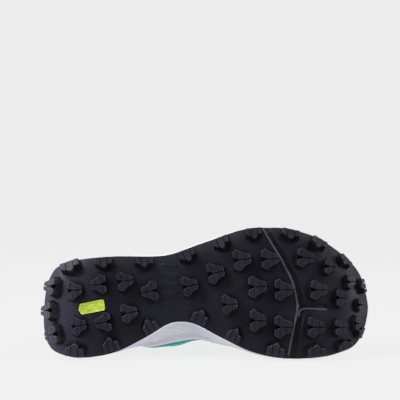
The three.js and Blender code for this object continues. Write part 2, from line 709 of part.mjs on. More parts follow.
// The closed form over the foot at the throat: the skin and the bridge from edge to edge
const bridgeCrown = 3;
const fieldFrom = (distance, crownRise) => {
  const triangles = [];
  const point = (k, j) => offset(k, j, distance(k, j));
  const start = stayStart - 3;
  for (let k = start; k < spokes - start; k += 1) {
    for (let j = 2; j < rings; j += 1) {
      triangles.push([point(k, j), point(k + 1, j), point(k + 1, j + 1)]);
      triangles.push([point(k, j), point(k + 1, j + 1), point(k, j + 1)]);
    }
  }
  const crown = (k) => point(k, rings).lerp(point(spokes - k, rings), 0.5).add(V(0, 0, crownRise));
  for (let k = start; k < half; k += 1) {
    for (const at of [(i) => point(i, rings), (i) => point(spokes - i, rings)]) {
      triangles.push([at(k), at(k + 1), crown(k + 1)]);
      triangles.push([at(k), crown(k + 1), crown(k)]);
    }
  }
  return triangles;
};
const heightIn = (triangles, x, y) => {
  let best = -Infinity;
  for (const [a, b, c] of triangles) {
    const d = (b.y - c.y) * (a.x - c.x) + (c.x - b.x) * (a.y - c.y);
    if (Math.abs(d) < 1e-9) continue;
    const u = ((b.y - c.y) * (x - c.x) + (c.x - b.x) * (y - c.y)) / d;
    const v = ((c.y - a.y) * (x - c.x) + (a.x - c.x) * (y - c.y)) / d;
    if (u < -1e-6 || v < -1e-6 || u + v > 1 + 1e-6) continue;
    best = Math.max(best, u * a.z + v * b.z + (1 - u - v) * c.z);
  }
  return best;
};
const clearOf = (triangles, x, y, distance) => {
  const e = 1;
  const z = heightIn(triangles, x, y);
  const slopeX = (heightIn(triangles, x + e, y) - heightIn(triangles, x - e, y)) / (2 * e);
  const slopeY = (heightIn(triangles, x, y + e) - heightIn(triangles, x, y - e)) / (2 * e);
  return z + distance * Math.sqrt(1 + slopeX * slopeX + slopeY * slopeY);
};
const innerField = fieldFrom((k, j) => -wallAt(k, j), 0);
const outerField = fieldFrom(() => overlayGap + overlayThick, bridgeCrown);

// Tongue: under the throat's edges, from under the vamp to above the collar
const throatFront = last.edge(1) * soleLength;
const throatShare = 0.43;
const throatBack = last.edge(throatShare) * soleLength;
const tongueRows = [
  { t: 0.00, width: 0.16 }, { t: 0.10, width: 0.25 }, { t: 0.25, width: 0.35 }, { t: 0.45, width: 0.41 },
  { t: 0.70, width: 0.44 }, { t: 0.88, width: 0.44 }, { t: 1.00, width: 0.41 },
];
const tongueTop = [
  { back: 0.045, up: 0.10, width: 0.35 }, { back: 0.085, up: 0.24, width: 0.345 },
  { back: 0.112, up: 0.36, width: 0.33 }, { back: 0.120, up: 0.41, width: 0.27 },
];
const tongueTuck = 9;
const tongueColumns = [-0.5, -0.42, -0.28, -0.14, 0, 0.14, 0.28, 0.42, 0.5];
const tongueMiddle = (tongueColumns.length - 1) / 2;
const tongueEdge = { from: 0.45, thick: 0.55 };
const tongueCurl = 0.55 * ballWidth;
const tongueSlope = { under: 0.45, above: 0.55 };
const tongueSag = { back: 0.35, down: 0.75 };
const makeTongue = () => {
  const high = [];
  const low = [];
  const front = throatFront + tongueTuck;
  const thin = (c) => tongueThick * (Math.abs(c) > tongueEdge.from ? tongueEdge.thick : 1);
  const inner = (over, width, slope) => over.map((p, i) => {
    const lean = (tongueColumns[i] * width * ballWidth) / tongueCurl;
    return p.clone().add(V(-slope, -lean, -1).normalize().multiplyScalar(thin(tongueColumns[i])));
  });
  for (const row of tongueRows) {
    const x = mix(front, throatBack, row.t);
    const over = tongueColumns.map((c) => {
      const y = centreLine(x) + c * row.width * ballWidth;
      return V(x, y, clearOf(innerField, x, y, -softGap));
    });
    high.push(over);
    low.push(inner(over, row.width, tongueSlope.under));
  }
  const end = high[high.length - 1];
  for (const row of tongueTop) {
    const x = throatBack - row.back * soleLength;
    const middle = end[tongueMiddle];
    const over = tongueColumns.map((c, i) => {
      const sag = middle.z - end[i].z;
      const y = centreLine(x) + c * row.width * ballWidth;
      return V(x - sag * tongueSag.back, y, middle.z + row.up * collarHeight - sag * tongueSag.down);
    });
    high.push(over);
    low.push(inner(over, row.width, tongueSlope.above));
  }
  return sheetBody(high, low);
};

// Insole: a slab on the upper's margin, clear of its walls
const makeInsole = () => {
  const sections = [];
  for (let k = 0; k < spokes; k += 2) {
    const edge = inwards(cell(k, 0).point, meshWall + insoleEase);
    const brow = inwards(edge, insoleBevel);
    const inset = inwards(edge, marginWidth);
    const at = (p, lift) => V(p.x, p.y, bedAt(p.x) + gap + meshWall + gap + lift);
    sections.push([at(inset, 0), at(edge, 0), at(brow, insoleThick), at(inset, insoleThick)]);
  }
  return slabBody(sections);
};

// Eyelets: rows down the throat, on the middle of the eyestay
const eyeletK = (i) => mix(stayStart + 1.4, half * 0.72, i / (eyeletRows - 1));
const eyeletAt = (k) => {
  const v = 1 - 0.45 * mix(stayBack, stayFront, smooth(0.4, 0.8, share(k)));
  return { point: skin(k, v), normal: skinNormal(k, v) };
};
const eyeletCutter = (k) => {
  const { point, normal } = eyeletAt(k);
  const bore = new THREE.CylinderGeometry(eyeletBore / 2, eyeletBore / 2, 14, 6);
  bore.applyQuaternion(new THREE.Quaternion().setFromUnitVectors(V(0, 1, 0), normal));
  bore.translate(point.x, point.y, point.z);
  return toSolid(bore);
};
const eyeletCutters = () => {
  const list = [];
  for (let i = 0; i < eyeletRows; i += 1) {
    const k = eyeletK(i);
    list.push(eyeletCutter(k), eyeletCutter(spokes - k));
  }
  return list;
};

// Lace: a crossing between each pair of eyelet rows and a bar at the lowest one
const laceSteps = 3;
const laceOver = 0.6;
const strand = (a, b, lift) => {
  const low = [];
  const high = [];
  const side = V(b.y - a.y, a.x - b.x, 0).normalize();
  for (let i = 0; i <= laceSteps; i += 1) {
    const t = i / laceSteps;
    const p = a.clone().lerp(b, t);
    const edges = [-0.5, 0.5].map((e) => p.clone().addScaledVector(side, e * laceWide));
    const z = Math.max(...edges.map((q) => clearOf(outerField, q.x, q.y, laceGap)),
      clearOf(outerField, p.x, p.y, laceGap)) + lift * Math.sin(Math.PI * t);
    low.push(edges.map((q) => V(q.x, q.y, z)));
    high.push(edges.map((q) => V(q.x, q.y, z + laceThick)));
  }
  return sheetBody(high, low);
};
const makeLace = () => {
  const point = (i, medial) => eyeletAt(medial ? eyeletK(i) : spokes - eyeletK(i)).point;
  let solid = strand(point(eyeletRows - 1, true), point(eyeletRows - 1, false), 0);
  for (let i = eyeletRows - 1; i > 0; i -= 1) {
    solid = solid.add(strand(point(i, true), point(i - 1, false), laceRise));
    solid = solid.add(strand(point(i, false), point(i - 1, true), laceRise + laceThick * laceOver));
  }
  return solid;
};

// Pull loop: a strap that starts on the heel's outside, rises past its top edge, bends over and comes down on
// the padding. A row is how far it lies behind the top edge and how high over it, as shares of its rise.
const loopRise = 14;
const loopRows = [
  { behind: 0.29, up: -0.08 }, { behind: 0.37, up: 0.40 }, { behind: 0.27, up: 0.80 },
  { behind: -0.08, up: 1.00 }, { behind: -0.32, up: 0.72 },
];
const loopSteps = 12;
const makeLoop = () => {
  const top = cell(0, rings).point;
  const seat = offset(0, rings - 1, gap + softGap);
  const crest = V(top.x + collarPad / 2, top.y, top.z + collarPad * crestShare + 4 * gap);
  const path = [
    seat, ...loopRows.map((row) => V(top.x - row.behind * loopRise, top.y, top.z + row.up * loopRise)), crest,
  ];
  const curve = new THREE.CatmullRomCurve3(path, false, 'centripetal');
  const low = [];
  const high = [];
  for (let i = 0; i <= loopSteps; i += 1) {
    const p = curve.getPoint(i / loopSteps);
    const t = curve.getTangent(i / loopSteps);
    const out = V(-t.z, 0, t.x);
    const edges = [-0.5, 0.5].map((e) => p.clone().add(V(0, e * loopWide, 0)));
    low.push(edges);
    high.push(edges.map((q) => q.clone().addScaledVector(out, loopThick)));
  }
  return sheetBody(high, low);
};

// Colours and finishes
const finish = (color, roughness) => new THREE.MeshStandardMaterial({ color, roughness, metalness: 0 });
const darkRubber = finish(0x211f29, 0.62);
const lime = finish(0xb9c44c, 0.5);
const whiteFoam = finish(0xdcdbe6, 0.7);
const tealMesh = finish(0x3fb5b0, 0.85);
const tealFilm = finish(0x2a8f95, 0.6);
const greyPad = finish(0x3b4a55, 0.9);
const cord = finish(0xe8eef0, 0.8);

const pieces = [];
const eyelets = eyeletCutters();
const bore = (solid) => eyelets.reduce((rest, hole) => rest.subtract(hole), solid);
pieces.push({ name: 'outsole', solid: makeOutsole(), material: darkRubber, density: 1.1 });
const insert = badgeBlock(0, -badge.proud, badge.deep - gap);
pieces.push({ name: 'sole_badge', solid: insert, material: lime, density: 1.1 });
pieces.push({ name: 'midsole', solid: makeMidsole(), material: whiteFoam, density: 0.22 });
pieces.push({ name: 'upper', solid: makeUpper(), material: tealMesh, density: 0.35 });
pieces.push({ name: 'toe_cap', solid: makeToeCap(), material: tealFilm, density: 1 });
pieces.push({ name: 'heel_counter', solid: makeCounter(), material: tealFilm, density: 1 });
pieces.push({ name: 'eyestay', solid: bore(makeEyestay()), material: tealFilm, density: 1 });
pieces.push({ name: 'tongue', solid: makeTongue(), material: greyPad, density: 0.2 });
pieces.push({ name: 'insole', solid: makeInsole(), material: greyPad, density: 0.2 });
pieces.push({ name: 'heel_loop', solid: makeLoop(), material: tealFilm, density: 0.6 });
pieces.push({ name: 'lace', solid: makeLace(), material: cord, density: 0.6 });

// Laying the shoe down: the side of the hull under the centre of mass, towards the medial side
const layDown = () => {
  const points = [];
  const centre = V(0, 0, 0);
  let mass = 0;
  for (const piece of pieces) {
    const geometry = toGeometry(piece.solid).toNonIndexed();
    const p = geometry.attributes.position;
    for (let i = 0; i < p.count; i += 3) {
      const [a, b, c] = [0, 1, 2].map((j) => V(0, 0, 0).fromBufferAttribute(p, i + j));
      const volume = (a.dot(b.clone().cross(c)) / 6) * piece.density;
      centre.addScaledVector(a.clone().add(b).add(c), volume / 4);
      mass += volume;
      points.push(a, b, c);
    }
  }
  centre.divideScalar(mass);
  const hull = new ConvexHull().setFromPoints(points);
  let seat = null;
  for (const face of hull.faces) {
    const n = face.normal;
    if (n.y < 0.7) continue;
    const foot = centre.clone().addScaledVector(n, face.constant - n.dot(centre));
    let edge = face.edge;
    let inside = true;
    do {
      const a = edge.tail().point;
      const b = edge.head().point;
      if (b.clone().sub(a).cross(foot.clone().sub(a)).dot(n) < 0) inside = false;
      edge = edge.next;
    } while (edge !== face.edge);
    if (inside) seat = face;
  }
  const up = seat.normal.clone().negate();
  const along = V(1, 0, 0).addScaledVector(up, -up.x).normalize();
  const back = up.clone().cross(along);
  return new THREE.Matrix4().makeBasis(along, back, up).transpose();
};
const lying = layDown();
for (const piece of pieces) piece.geometry = toGeometry(piece.solid).applyMatrix4(lying);
const extent = new THREE.Box3();
for (const piece of pieces) {
  piece.geometry.computeBoundingBox();
  extent.union(piece.geometry.boundingBox);
}
const middle = extent.getCenter(V(0, 0, 0));
const settle = V(-middle.x, -middle.y, -extent.min.z - press);
const slab = new THREE.BoxGeometry(2 * soleLength, 2 * soleLength, soleLength);
slab.translate(0, 0, -soleLength / 2);
const floor = toSolid(slab);

const shoe = new THREE.Group();
for (const piece of pieces) {
  piece.geometry.translate(settle.x, settle.y, settle.z);
  piece.geometry.computeBoundingBox();
  const low = piece.geometry.boundingBox.min.z < 0;
  const geometry = low ? toGeometry(toSolid(piece.geometry).subtract(floor)) : piece.geometry;
  geometry.computeVertexNormals();
  const mesh = new THREE.Mesh(geometry, piece.material);
  mesh.name = piece.name;
  shoe.add(mesh);
}

export default shoe;
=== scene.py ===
"""Trail running shoe for the right foot, lying on its medial side with its lugged sole towards the camera.

Lengths are millimetres in the shoe's own frame: x from heel to toe, y towards the medial side and z up
from the ground under the lugs. A place round the shoe is a turn, from 0 at the heel along the medial side
to 0.5 at the toe and back along the lateral side. Finished meshes are in metres, in the frame where the
shoe lies.
"""
import json
import math

import bmesh
import bpy
import numpy as np
from mathutils import Matrix, Vector
from mathutils.bvhtree import BVHTree


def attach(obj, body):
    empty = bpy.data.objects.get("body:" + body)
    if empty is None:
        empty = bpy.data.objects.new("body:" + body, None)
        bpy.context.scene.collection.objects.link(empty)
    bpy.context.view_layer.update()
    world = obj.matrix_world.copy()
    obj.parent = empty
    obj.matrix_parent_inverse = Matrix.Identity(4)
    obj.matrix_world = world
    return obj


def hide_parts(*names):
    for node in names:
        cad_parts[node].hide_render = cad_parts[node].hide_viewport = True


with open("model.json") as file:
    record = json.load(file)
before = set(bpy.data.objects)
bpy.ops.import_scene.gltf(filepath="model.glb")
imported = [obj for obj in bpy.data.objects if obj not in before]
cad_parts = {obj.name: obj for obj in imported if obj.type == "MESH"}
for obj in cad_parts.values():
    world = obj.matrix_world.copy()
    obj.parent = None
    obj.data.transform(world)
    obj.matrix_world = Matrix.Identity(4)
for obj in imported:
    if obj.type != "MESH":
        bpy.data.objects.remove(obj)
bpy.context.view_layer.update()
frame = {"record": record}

# Sizes of the whole shoe
SOLE_LENGTH = 280.0
BALL_WIDTH = 113.0
COLLAR_HEIGHT = 64.0
INSTEP_HEIGHT = 64.0
TOE_SPRING = 16.0
PLAN_SIZE = np.array([SOLE_LENGTH, BALL_WIDTH])

# Sole
LUG_HEIGHT = 8.0
LUG_LONG = 14.5
LUG_WIDE = 18.5
LUG_DRAFT = 1.1
LUG_SUNK = 1.2
TOE_LUG_SHARE = 0.75
WEDGE_LONG = 14.0
WEDGE_DEEP = 10.0
WEDGE_SETBACK = 1.2
RUBBER = 2.6
HEEL_FOAM = 20.0
FOREFOOT_FOAM = 10.0
ARCH_LIFT = 2.5
EDGE_BAND = 22.0
LATERAL_ROLL = 4.4
MEDIAL_ROLL = 2.6
HEEL_BEVEL = 9.0
TOE_BEVEL = 2.0
FOOT_LIP = 8.0
LIP_WALL = 3.2
FOOT_INSET = 0.8

# Upper and what lies on it or in it
MESH_WALL = 2.2
COLLAR_PAD = 6.0
CREST_SHARE = 0.35
MARGIN_WIDTH = 7.0
OVERLAY_THICK = 1.1
OVERLAY_GAP = 0.45
OVERLAY_STEP = 3.0
CAP_TALL = 0.24
COUNTER_TALL = 0.42
STAY_BACK = 0.26
STAY_FRONT = 0.14
TONGUE_THICK = 4.5
INSOLE_THICK = 4.0
INSOLE_BEVEL = 3.0
INSOLE_EASE = 3.2
LACE_WIDE = 6.5
LACE_THICK = 1.5
EYELET_BORE = 4.2
EYELET_ROWS = 6
LOOP_WIDE = 14.0
LOOP_THICK = 1.6
LOOP_RISE = 14.0
GAP = 0.3
SOFT_GAP = 0.5

SPOKES = 56
AROUND = 448


def mix(a, b, t):
    """The value a share t of the way from a to b."""
    return a + (b - a) * t


def smooth(a, b, x):
    """Soft step from 0 at a to 1 at b."""
    t = np.clip((x - a) / (b - a), 0, 1)
    return t * t * (3 - 2 * t)


def unit(v):
    """Vectors scaled to a length of 1."""
    return v / np.linalg.norm(v, axis=-1, keepdims=True)


def with_height(plan, height):
    """Plan places, each with its height."""
    return np.concatenate([plan, np.asarray(height)[..., None]], axis=-1)


def arc_along(path):
    """Length of a path of straight stretches up to each of its places."""
    return np.concatenate([[0], np.cumsum(np.linalg.norm(np.diff(path, axis=0), axis=1))])


def at_arc(places, arc, line):
    """What lies at given lengths along a line, column by column."""
    return np.stack([np.interp(places, arc, column) for column in line.T], axis=-1)


# Plan of the sole: share of the length, share of the ball width
PLAN = np.array([
    (0.000, 0.018), (0.001, 0.136), (0.010, 0.242), (0.030, 0.314), (0.069, 0.355), (0.112, 0.371),
    (0.216, 0.333), (0.314, 0.218), (0.387, 0.113), (0.424, 0.101), (0.461, 0.116), (0.541, 0.217),
    (0.639, 0.329), (0.743, 0.376), (0.856, 0.362), (0.905, 0.332), (0.948, 0.288), (0.975, 0.211),
    (0.991, 0.112), (1.000, -0.010), (0.994, -0.118), (0.984, -0.213), (0.964, -0.302), (0.925, -0.396),
    (0.842, -0.530), (0.790, -0.575), (0.740, -0.602), (0.691, -0.607), (0.622, -0.598), (0.492, -0.495),
    (0.387, -0.404), (0.343, -0.389), (0.207, -0.386), (0.102, -0.360), (0.065, -0.335), (0.035, -0.303),
    (0.019, -0.246), (0.008, -0.176), (0.002, -0.085),
])
TOE_ROW = 19
LOOP_STEPS = 40


def knot_curve(p0, p1, p2, p3, steps):
    """Catmull-Rom stretch between p1 and p2, with knots spaced by the square root of the chord."""
    d0, d1, d2 = (np.sqrt(np.linalg.norm(b - a, axis=1))[:, None] for a, b in ((p0, p1), (p1, p2), (p2, p3)))
    d0 = np.where(d0 < 1e-4, d1, d0)
    d2 = np.where(d2 < 1e-4, d1, d2)
    t1 = ((p1 - p0) / d0 - (p2 - p0) / (d0 + d1) + (p2 - p1) / d1) * d1
    t2 = ((p2 - p1) / d1 - (p3 - p1) / (d1 + d2) + (p3 - p2) / d2) * d1
    t = np.linspace(0, 1, steps, endpoint=False)[None, :, None]
    p1, p2, t1, t2 = (a[:, None] for a in (p1, p2, t1, t2))
    curve = p1 + t1 * t + (3 * (p2 - p1) - 2 * t1 - t2) * t**2 + (2 * (p1 - p2) + t1 + t2) * t**3
    return curve.reshape(-1, curve.shape[-1])


def closed_curve(points, steps):
    """Smooth curve through a ring of points and back to the first."""
    return knot_curve(*(np.roll(points, shift, axis=0) for shift in (1, 0, -1, -2)), steps)


def open_curve(points, steps):
    """Curve through a short list of points, with its ends run on in a straight line."""
    points = np.asarray(points, float)
    padded = np.vstack([2 * points[0] - points[1], points, 2 * points[-1] - points[-2]])
    body = knot_curve(padded[:-3], padded[1:-2], padded[2:-1], padded[3:], steps)
    return np.vstack([body, points[-1]])


LOOP = closed_curve(PLAN * PLAN_SIZE, LOOP_STEPS)
CLOSED_LOOP = np.vstack([LOOP, LOOP[:1]])
LOOP_ARC = arc_along(CLOSED_LOOP)
TOE_ARC = LOOP_ARC[TOE_ROW * LOOP_STEPS]


def share(turn):
    """Share of the way from the heel to the toe along the side that a turn is on."""
    turn = np.mod(turn, 1)
    return np.where(turn <= 0.5, 2 * turn, 2 - 2 * turn)


def on_medial(turn):
    """Whether a turn is on the medial side."""
    return np.mod(turn, 1) <= 0.5


def rim_arc(turn):
    """Length along the sole's edge to a turn, by the share of its own side's arc."""
    s = share(turn)
    return np.where(on_medial(turn), s * TOE_ARC, LOOP_ARC[-1] - s * (LOOP_ARC[-1] - TOE_ARC))


def rim(turn):
    """Edge of the sole in plan, in equal shares of the arc of each side."""
    return at_arc(rim_arc(turn), LOOP_ARC, CLOSED_LOOP)


def centre_line(x):
    """Side place of the middle line: straight at the heel, then a soft step outwards."""
    return -0.105 * BALL_WIDTH * smooth(0.25 * SOLE_LENGTH, 0.7 * SOLE_LENGTH, x)


def spine(plan):
    """The middle line's place at the same x, held within 0.2 to 0.78 of the length."""
    x = np.clip(plan[..., 0], 0.2 * SOLE_LENGTH, 0.78 * SOLE_LENGTH)
    return np.stack([x, centre_line(x)], axis=-1)


def inwards(plan, distance):
    """A plan place moved towards the sole's middle line."""
    run = unit(spine(plan) - plan)
    return plan + run * np.asarray(distance, float)[..., None]


def path_distance(points, path, closed=False):
    """Distance of each plan place from a path of straight stretches."""
    ends = np.roll(path, -1, axis=0) if closed else path[1:]
    best = np.full(len(points), np.inf)
    for start, end in zip(path, ends):
        run = end - start
        t = np.clip((points - start) @ run / (run @ run), 0, 1)
        away = start + t[:, None] * run - points
        best = np.minimum(best, np.hypot(away[:, 0], away[:, 1]))
    return best


def inside_loop(points):
    """Whether each plan place is inside the sole's edge: it has an odd count of edges to its right."""
    ring = LOOP[::5]
    ahead = np.roll(ring, -1, axis=0)
    x, y = points[:, :1], points[:, 1:]
    spans = (ring[:, 1] > y) != (ahead[:, 1] > y)
    rise = np.where(ahead[:, 1] == ring[:, 1], 1e-9, ahead[:, 1] - ring[:, 1])
    at = ring[:, 0] + (y - ring[:, 1]) / rise * (ahead[:, 0] - ring[:, 0])
    return np.sum(spans & (at > x), axis=1) % 2 == 1


def spring_at(x):
    """Rise of the toe: the square of the share of the way through the last 28%."""
    return TOE_SPRING * (np.maximum(0, x - 0.72 * SOLE_LENGTH) / (0.28 * SOLE_LENGTH)) ** 2


def tread_at(x, y):
    """Height of the rubber's face between the lugs: toe spring, rolled edge and lifted arch."""
    x, y = np.broadcast_arrays(np.asarray(x, float), np.asarray(y, float))
    away = path_distance(np.stack([x.ravel(), y.ravel()], -1), LOOP[::5], closed=True).reshape(x.shape)
    roll = (mix(LATERAL_ROLL, MEDIAL_ROLL, smooth(-0.1 * BALL_WIDTH, 0.1 * BALL_WIDTH, y))
            + HEEL_BEVEL * (1 - smooth(0, 0.14 * SOLE_LENGTH, x))
            + TOE_BEVEL * smooth(0.88 * SOLE_LENGTH, SOLE_LENGTH, x))
    arch = ARCH_LIFT * smooth(0.28 * SOLE_LENGTH, 0.4 * SOLE_LENGTH, x)
    arch = arch * (1 - smooth(0.5 * SOLE_LENGTH, 0.62 * SOLE_LENGTH, x))
    return LUG_HEIGHT + spring_at(x) + roll * np.maximum(0, 1 - away / EDGE_BAND) ** 2 + arch


def tread_normal(x, y):
    """Outward direction of the tread, from its slopes over 1 mm."""
    e = 0.5
    slope_x = (tread_at(x + e, y) - tread_at(x - e, y)) / (2 * e)
    slope_y = (tread_at(x, y + e) - tread_at(x, y - e)) / (2 * e)
    return unit(np.stack([slope_x, slope_y, -np.ones_like(slope_x)], axis=-1))


def bed_at(x):
    """Height of the foam's bed: lugs, rubber, toe spring and the foam's thickness."""
    foam = mix(HEEL_FOAM, FOREFOOT_FOAM, smooth(0.25 * SOLE_LENGTH, 0.7 * SOLE_LENGTH, x))
    return LUG_HEIGHT + RUBBER + spring_at(x) + foam


# The last, a row for each section: place from heel to toe, inset of the foot on each side, place, half width
# and height of the top edge, bulge low on the side, height of the side before it turns in, lean of its end
LAST_COLUMNS = ("s", "inset_m", "inset_l", "edge", "out", "rise", "belly", "turn", "lean")
LAST = np.array([
    (0.00, 0.070, 0.070, 0.034, 0.000, 1.000, 0.034, 0.40, 0.00),
    (0.05, 0.072, 0.072, 0.047, 0.110, 0.980, 0.032, 0.40, 0.00),
    (0.11, 0.075, 0.075, 0.086, 0.216, 0.900, 0.028, 0.42, 0.00),
    (0.18, 0.070, 0.072, 0.150, 0.282, 0.790, 0.020, 0.46, 0.02),
    (0.25, 0.072, 0.060, 0.220, 0.296, 0.750, 0.014, 0.48, 0.04),
    (0.31, 0.000, 0.045, 0.285, 0.280, 0.800, 0.008, 0.52, 0.10),
    (0.37, -0.095, 0.035, 0.345, 0.235, 0.930, 0.004, 0.56, 0.24),
    (0.43, -0.138, 0.032, 0.395, 0.182, 1.030, 0.002, 0.58, 0.42),
    (0.52, -0.055, 0.040, 0.470, 0.160, 0.980, 0.002, 0.62, 0.60),
    (0.60, 0.028, 0.050, 0.550, 0.142, 0.860, 0.000, 0.68, 0.72),
    (0.67, 0.050, 0.055, 0.620, 0.122, 0.760, 0.000, 0.74, 0.80),
    (0.75, 0.055, 0.055, 0.672, 0.092, 0.690, 0.000, 0.82, 0.87),
    (0.84, 0.050, 0.052, 0.698, 0.055, 0.665, 0.004, 0.90, 0.92),
    (0.92, 0.046, 0.048, 0.708, 0.026, 0.655, 0.008, 0.96, 0.94),
    (1.00, 0.044, 0.044, 0.711, 0.000, 0.650, 0.010, 1.00, 0.94),
])


def last_column(name, s):
    """Smooth curve through one column, mirrored past the heel and the toe."""
    sign = -1 if name == "out" else 1
    values = LAST[:, LAST_COLUMNS.index(name)]
    values = np.concatenate([[sign * values[1]], values, [sign * values[-2]]])
    places = np.concatenate([[-LAST[1, 0]], LAST[:, 0], [2 - LAST[-2, 0]]])
    slopes = (values[2:] - values[:-2]) / (places[2:] - places[:-2])
    i = np.clip(np.searchsorted(places[1:-1], s, side="left") - 1, 0, len(LAST) - 2)
    h = places[i + 2] - places[i + 1]
    t = (s - places[i + 1]) / h
    return ((2 * t**3 - 3 * t**2 + 1) * values[i + 1] + (t**3 - 2 * t**2 + t) * h * slopes[i]
            + (3 * t**2 - 2 * t**3) * values[i + 2] + (t**3 - t**2) * h * slopes[i + 1])


def spoke(turn):
    """Foot of the side, two handles and the top edge of the upper at a turn."""
    s = share(turn)
    medial = on_medial(turn)
    inset = np.where(medial, last_column("inset_m", s), last_column("inset_l", s)) * BALL_WIDTH
    foot = inwards(rim(turn), inset)
    foot = np.concatenate([foot, (bed_at(foot[..., 0]) + GAP)[..., None]], axis=-1)
    x = last_column("edge", s) * SOLE_LENGTH
    y = centre_line(x) + np.where(medial, 1, -1) * last_column("out", s) * BALL_WIDTH
    reach = mix(COLLAR_HEIGHT, INSTEP_HEIGHT, smooth(0.3, 0.5, s))
    z = LUG_HEIGHT + RUBBER + HEEL_FOAM + last_column("rise", s) * reach
    top = np.stack([x, y, z], axis=-1)
    outward = foot - top
    climb = -outward[..., 2]
    outward[..., 2] = 0
    run = np.linalg.norm(outward, axis=-1)
    outward = unit(outward)
    low = foot + outward * (last_column("belly", s) * BALL_WIDTH)[..., None]
    low[..., 2] += last_column("turn", s) * climb
    lean = last_column("lean", s)
    arm = 0.45 * np.hypot(run, climb * (1 - lean))
    high = top + outward * (lean * arm)[..., None]
    high[..., 2] -= (1 - lean) * arm
    return foot, low, high, top


def skin(turn, v):
    """Outer face of the upper: a cubic curve up each spoke, v from the foot to the top edge."""
    turn, v = np.broadcast_arrays(np.asarray(turn, float), np.asarray(v, float))
    foot, low, high, top = spoke(turn)
    v = v[..., None]
    w = 1 - v
    return foot * w**3 + low * 3 * w**2 * v + high * 3 * w * v**2 + top * v**3


def skin_normal(turn, v):
    """Outward direction of the upper: its run up the side crossed with its run round."""
    step = 0.25 / SPOKES
    along = skin(turn + step, v) - skin(turn - step, v)
    up = skin(turn, np.minimum(1, v + 0.02)) - skin(turn, np.maximum(0, v - 0.02))
    return unit(np.cross(up, along))


def off_skin(turn, v, distance):
    """Places at a distance outside the upper's face."""
    turn, v = np.broadcast_arrays(np.asarray(turn, float), np.asarray(v, float))
    return skin(turn, v) + skin_normal(turn, v) * np.broadcast_to(distance, v.shape)[..., None]


def lip_share(turn):
    """Share of the side that the foam's lip covers, from the curve's speed at its foot."""
    foot, low, _, _ = spoke(np.asarray(turn, float))
    return FOOT_LIP / (3 * np.linalg.norm(low - foot, axis=-1))


def wall_at(turn, v):
    """Thickness of the upper: thin mesh, thicker at the collar of the heel half."""
    padded = (1 - smooth(0.3, 0.42, share(turn))) * smooth(0.45, 0.85, v)
    return MESH_WALL + (COLLAR_PAD - MESH_WALL) * padded


# Claw lugs: share of the length, share of the ball width, length, width, turn in degrees
CLAWS = np.array([
    (0.449, -0.163, 0.89, 0.98, -13), (0.529, -0.261, 0.98, 1.03, -12), (0.608, -0.358, 1.01, 1.03, -8),
    (0.692, -0.362, 1.01, 0.98, -3), (0.571, -0.023, 0.86, 0.98, -5), (0.653, -0.154, 1.04, 1.05, -2),
    (0.732, -0.131, 1.01, 1.03, -1), (0.654, 0.098, 0.92, 1.07, 0), (0.730, 0.146, 1.01, 1.07, 0),
    (0.797, -0.373, 0.95, 0.93, 3), (0.873, -0.303, 0.74, 0.72, 4), (0.836, -0.132, 0.95, 0.96, 0),
    (0.935, -0.193, 0.54, 0.60, -5), (0.908, -0.074, 0.74, 0.84, 0), (0.966, -0.020, 0.54, 0.52, 0),
    (0.826, 0.146, 0.95, 1.00, 0), (0.902, 0.147, 0.71, 0.75, 0), (0.957, 0.115, 0.54, 0.65, 0),
    (0.100, -0.128, 0.80, 0.93, -6), (0.171, -0.171, 0.86, 0.93, 174), (0.252, -0.197, 0.89, 0.93, -9),
    (0.323, -0.120, 0.92, 0.96, 171), (0.114, 0.135, 0.80, 0.91, -10), (0.186, 0.111, 0.89, 0.93, 171),
    (0.265, 0.040, 0.92, 0.93, -12), (0.035, -0.153, 0.84, 0.88, 188), (0.026, 0.025, 0.76, 0.88, 180),
    (0.040, 0.197, 0.84, 0.88, 168),
])
HEEL_CLAW = 19

# Edge lugs: share of the way from heel to toe, side (1 is medial), length, depth
WEDGES = np.array([
    (0.150, 0, 1.15, 1.00), (0.234, 0, 0.95, 0.95), (0.333, 0, 1.00, 0.92), (0.436, 0, 1.00, 1.05),
    (0.526, 0, 0.98, 1.05), (0.612, 0, 0.90, 0.95), (0.706, 0, 1.05, 0.85), (0.781, 0, 0.92, 0.85),
    (0.862, 0, 0.85, 0.70), (0.945, 0, 0.80, 0.60), (0.164, 1, 1.10, 1.12), (0.258, 1, 0.88, 1.20),
    (0.367, 1, 0.86, 1.12), (0.483, 1, 0.90, 1.15), (0.577, 1, 0.82, 1.15), (0.689, 1, 1.00, 1.05),
    (0.791, 1, 1.08, 0.95), (0.867, 1, 0.95, 0.70), (0.930, 1, 0.65, 0.55),
])


def wing(peak):
    """Cells of one wing of a claw between its slits, in shares of the lug's length and width.

    Each cell comes with how wide the slit on each of its edges is, 0 where the edge is the lug's own. The
    root of the peak's slit lies on the straight line along the notch between the wings.
    """
    root = (peak, -0.326 * (peak + 0.07) + 0.001)
    tip = (peak, 0.50)
    return (
        (((-0.50, 0.14), (-0.50, 0.37), tip, root), (0, 0, 0.55, 0)),
        ((root, tip, (peak / 3 + 0.05, 0.345), (0.18, 0.275), (0.18, 0.0), (-0.07, 0.0)),
         (0.55, 0, 0, 0.55, 1.3, 0)),
        (((0.18, 0.0), (0.18, 0.275), (0.43, 0.21), (0.50, 0.13), (0.50, 0.0)), (0.55, 0, 0, 0, 1.3)),
    )


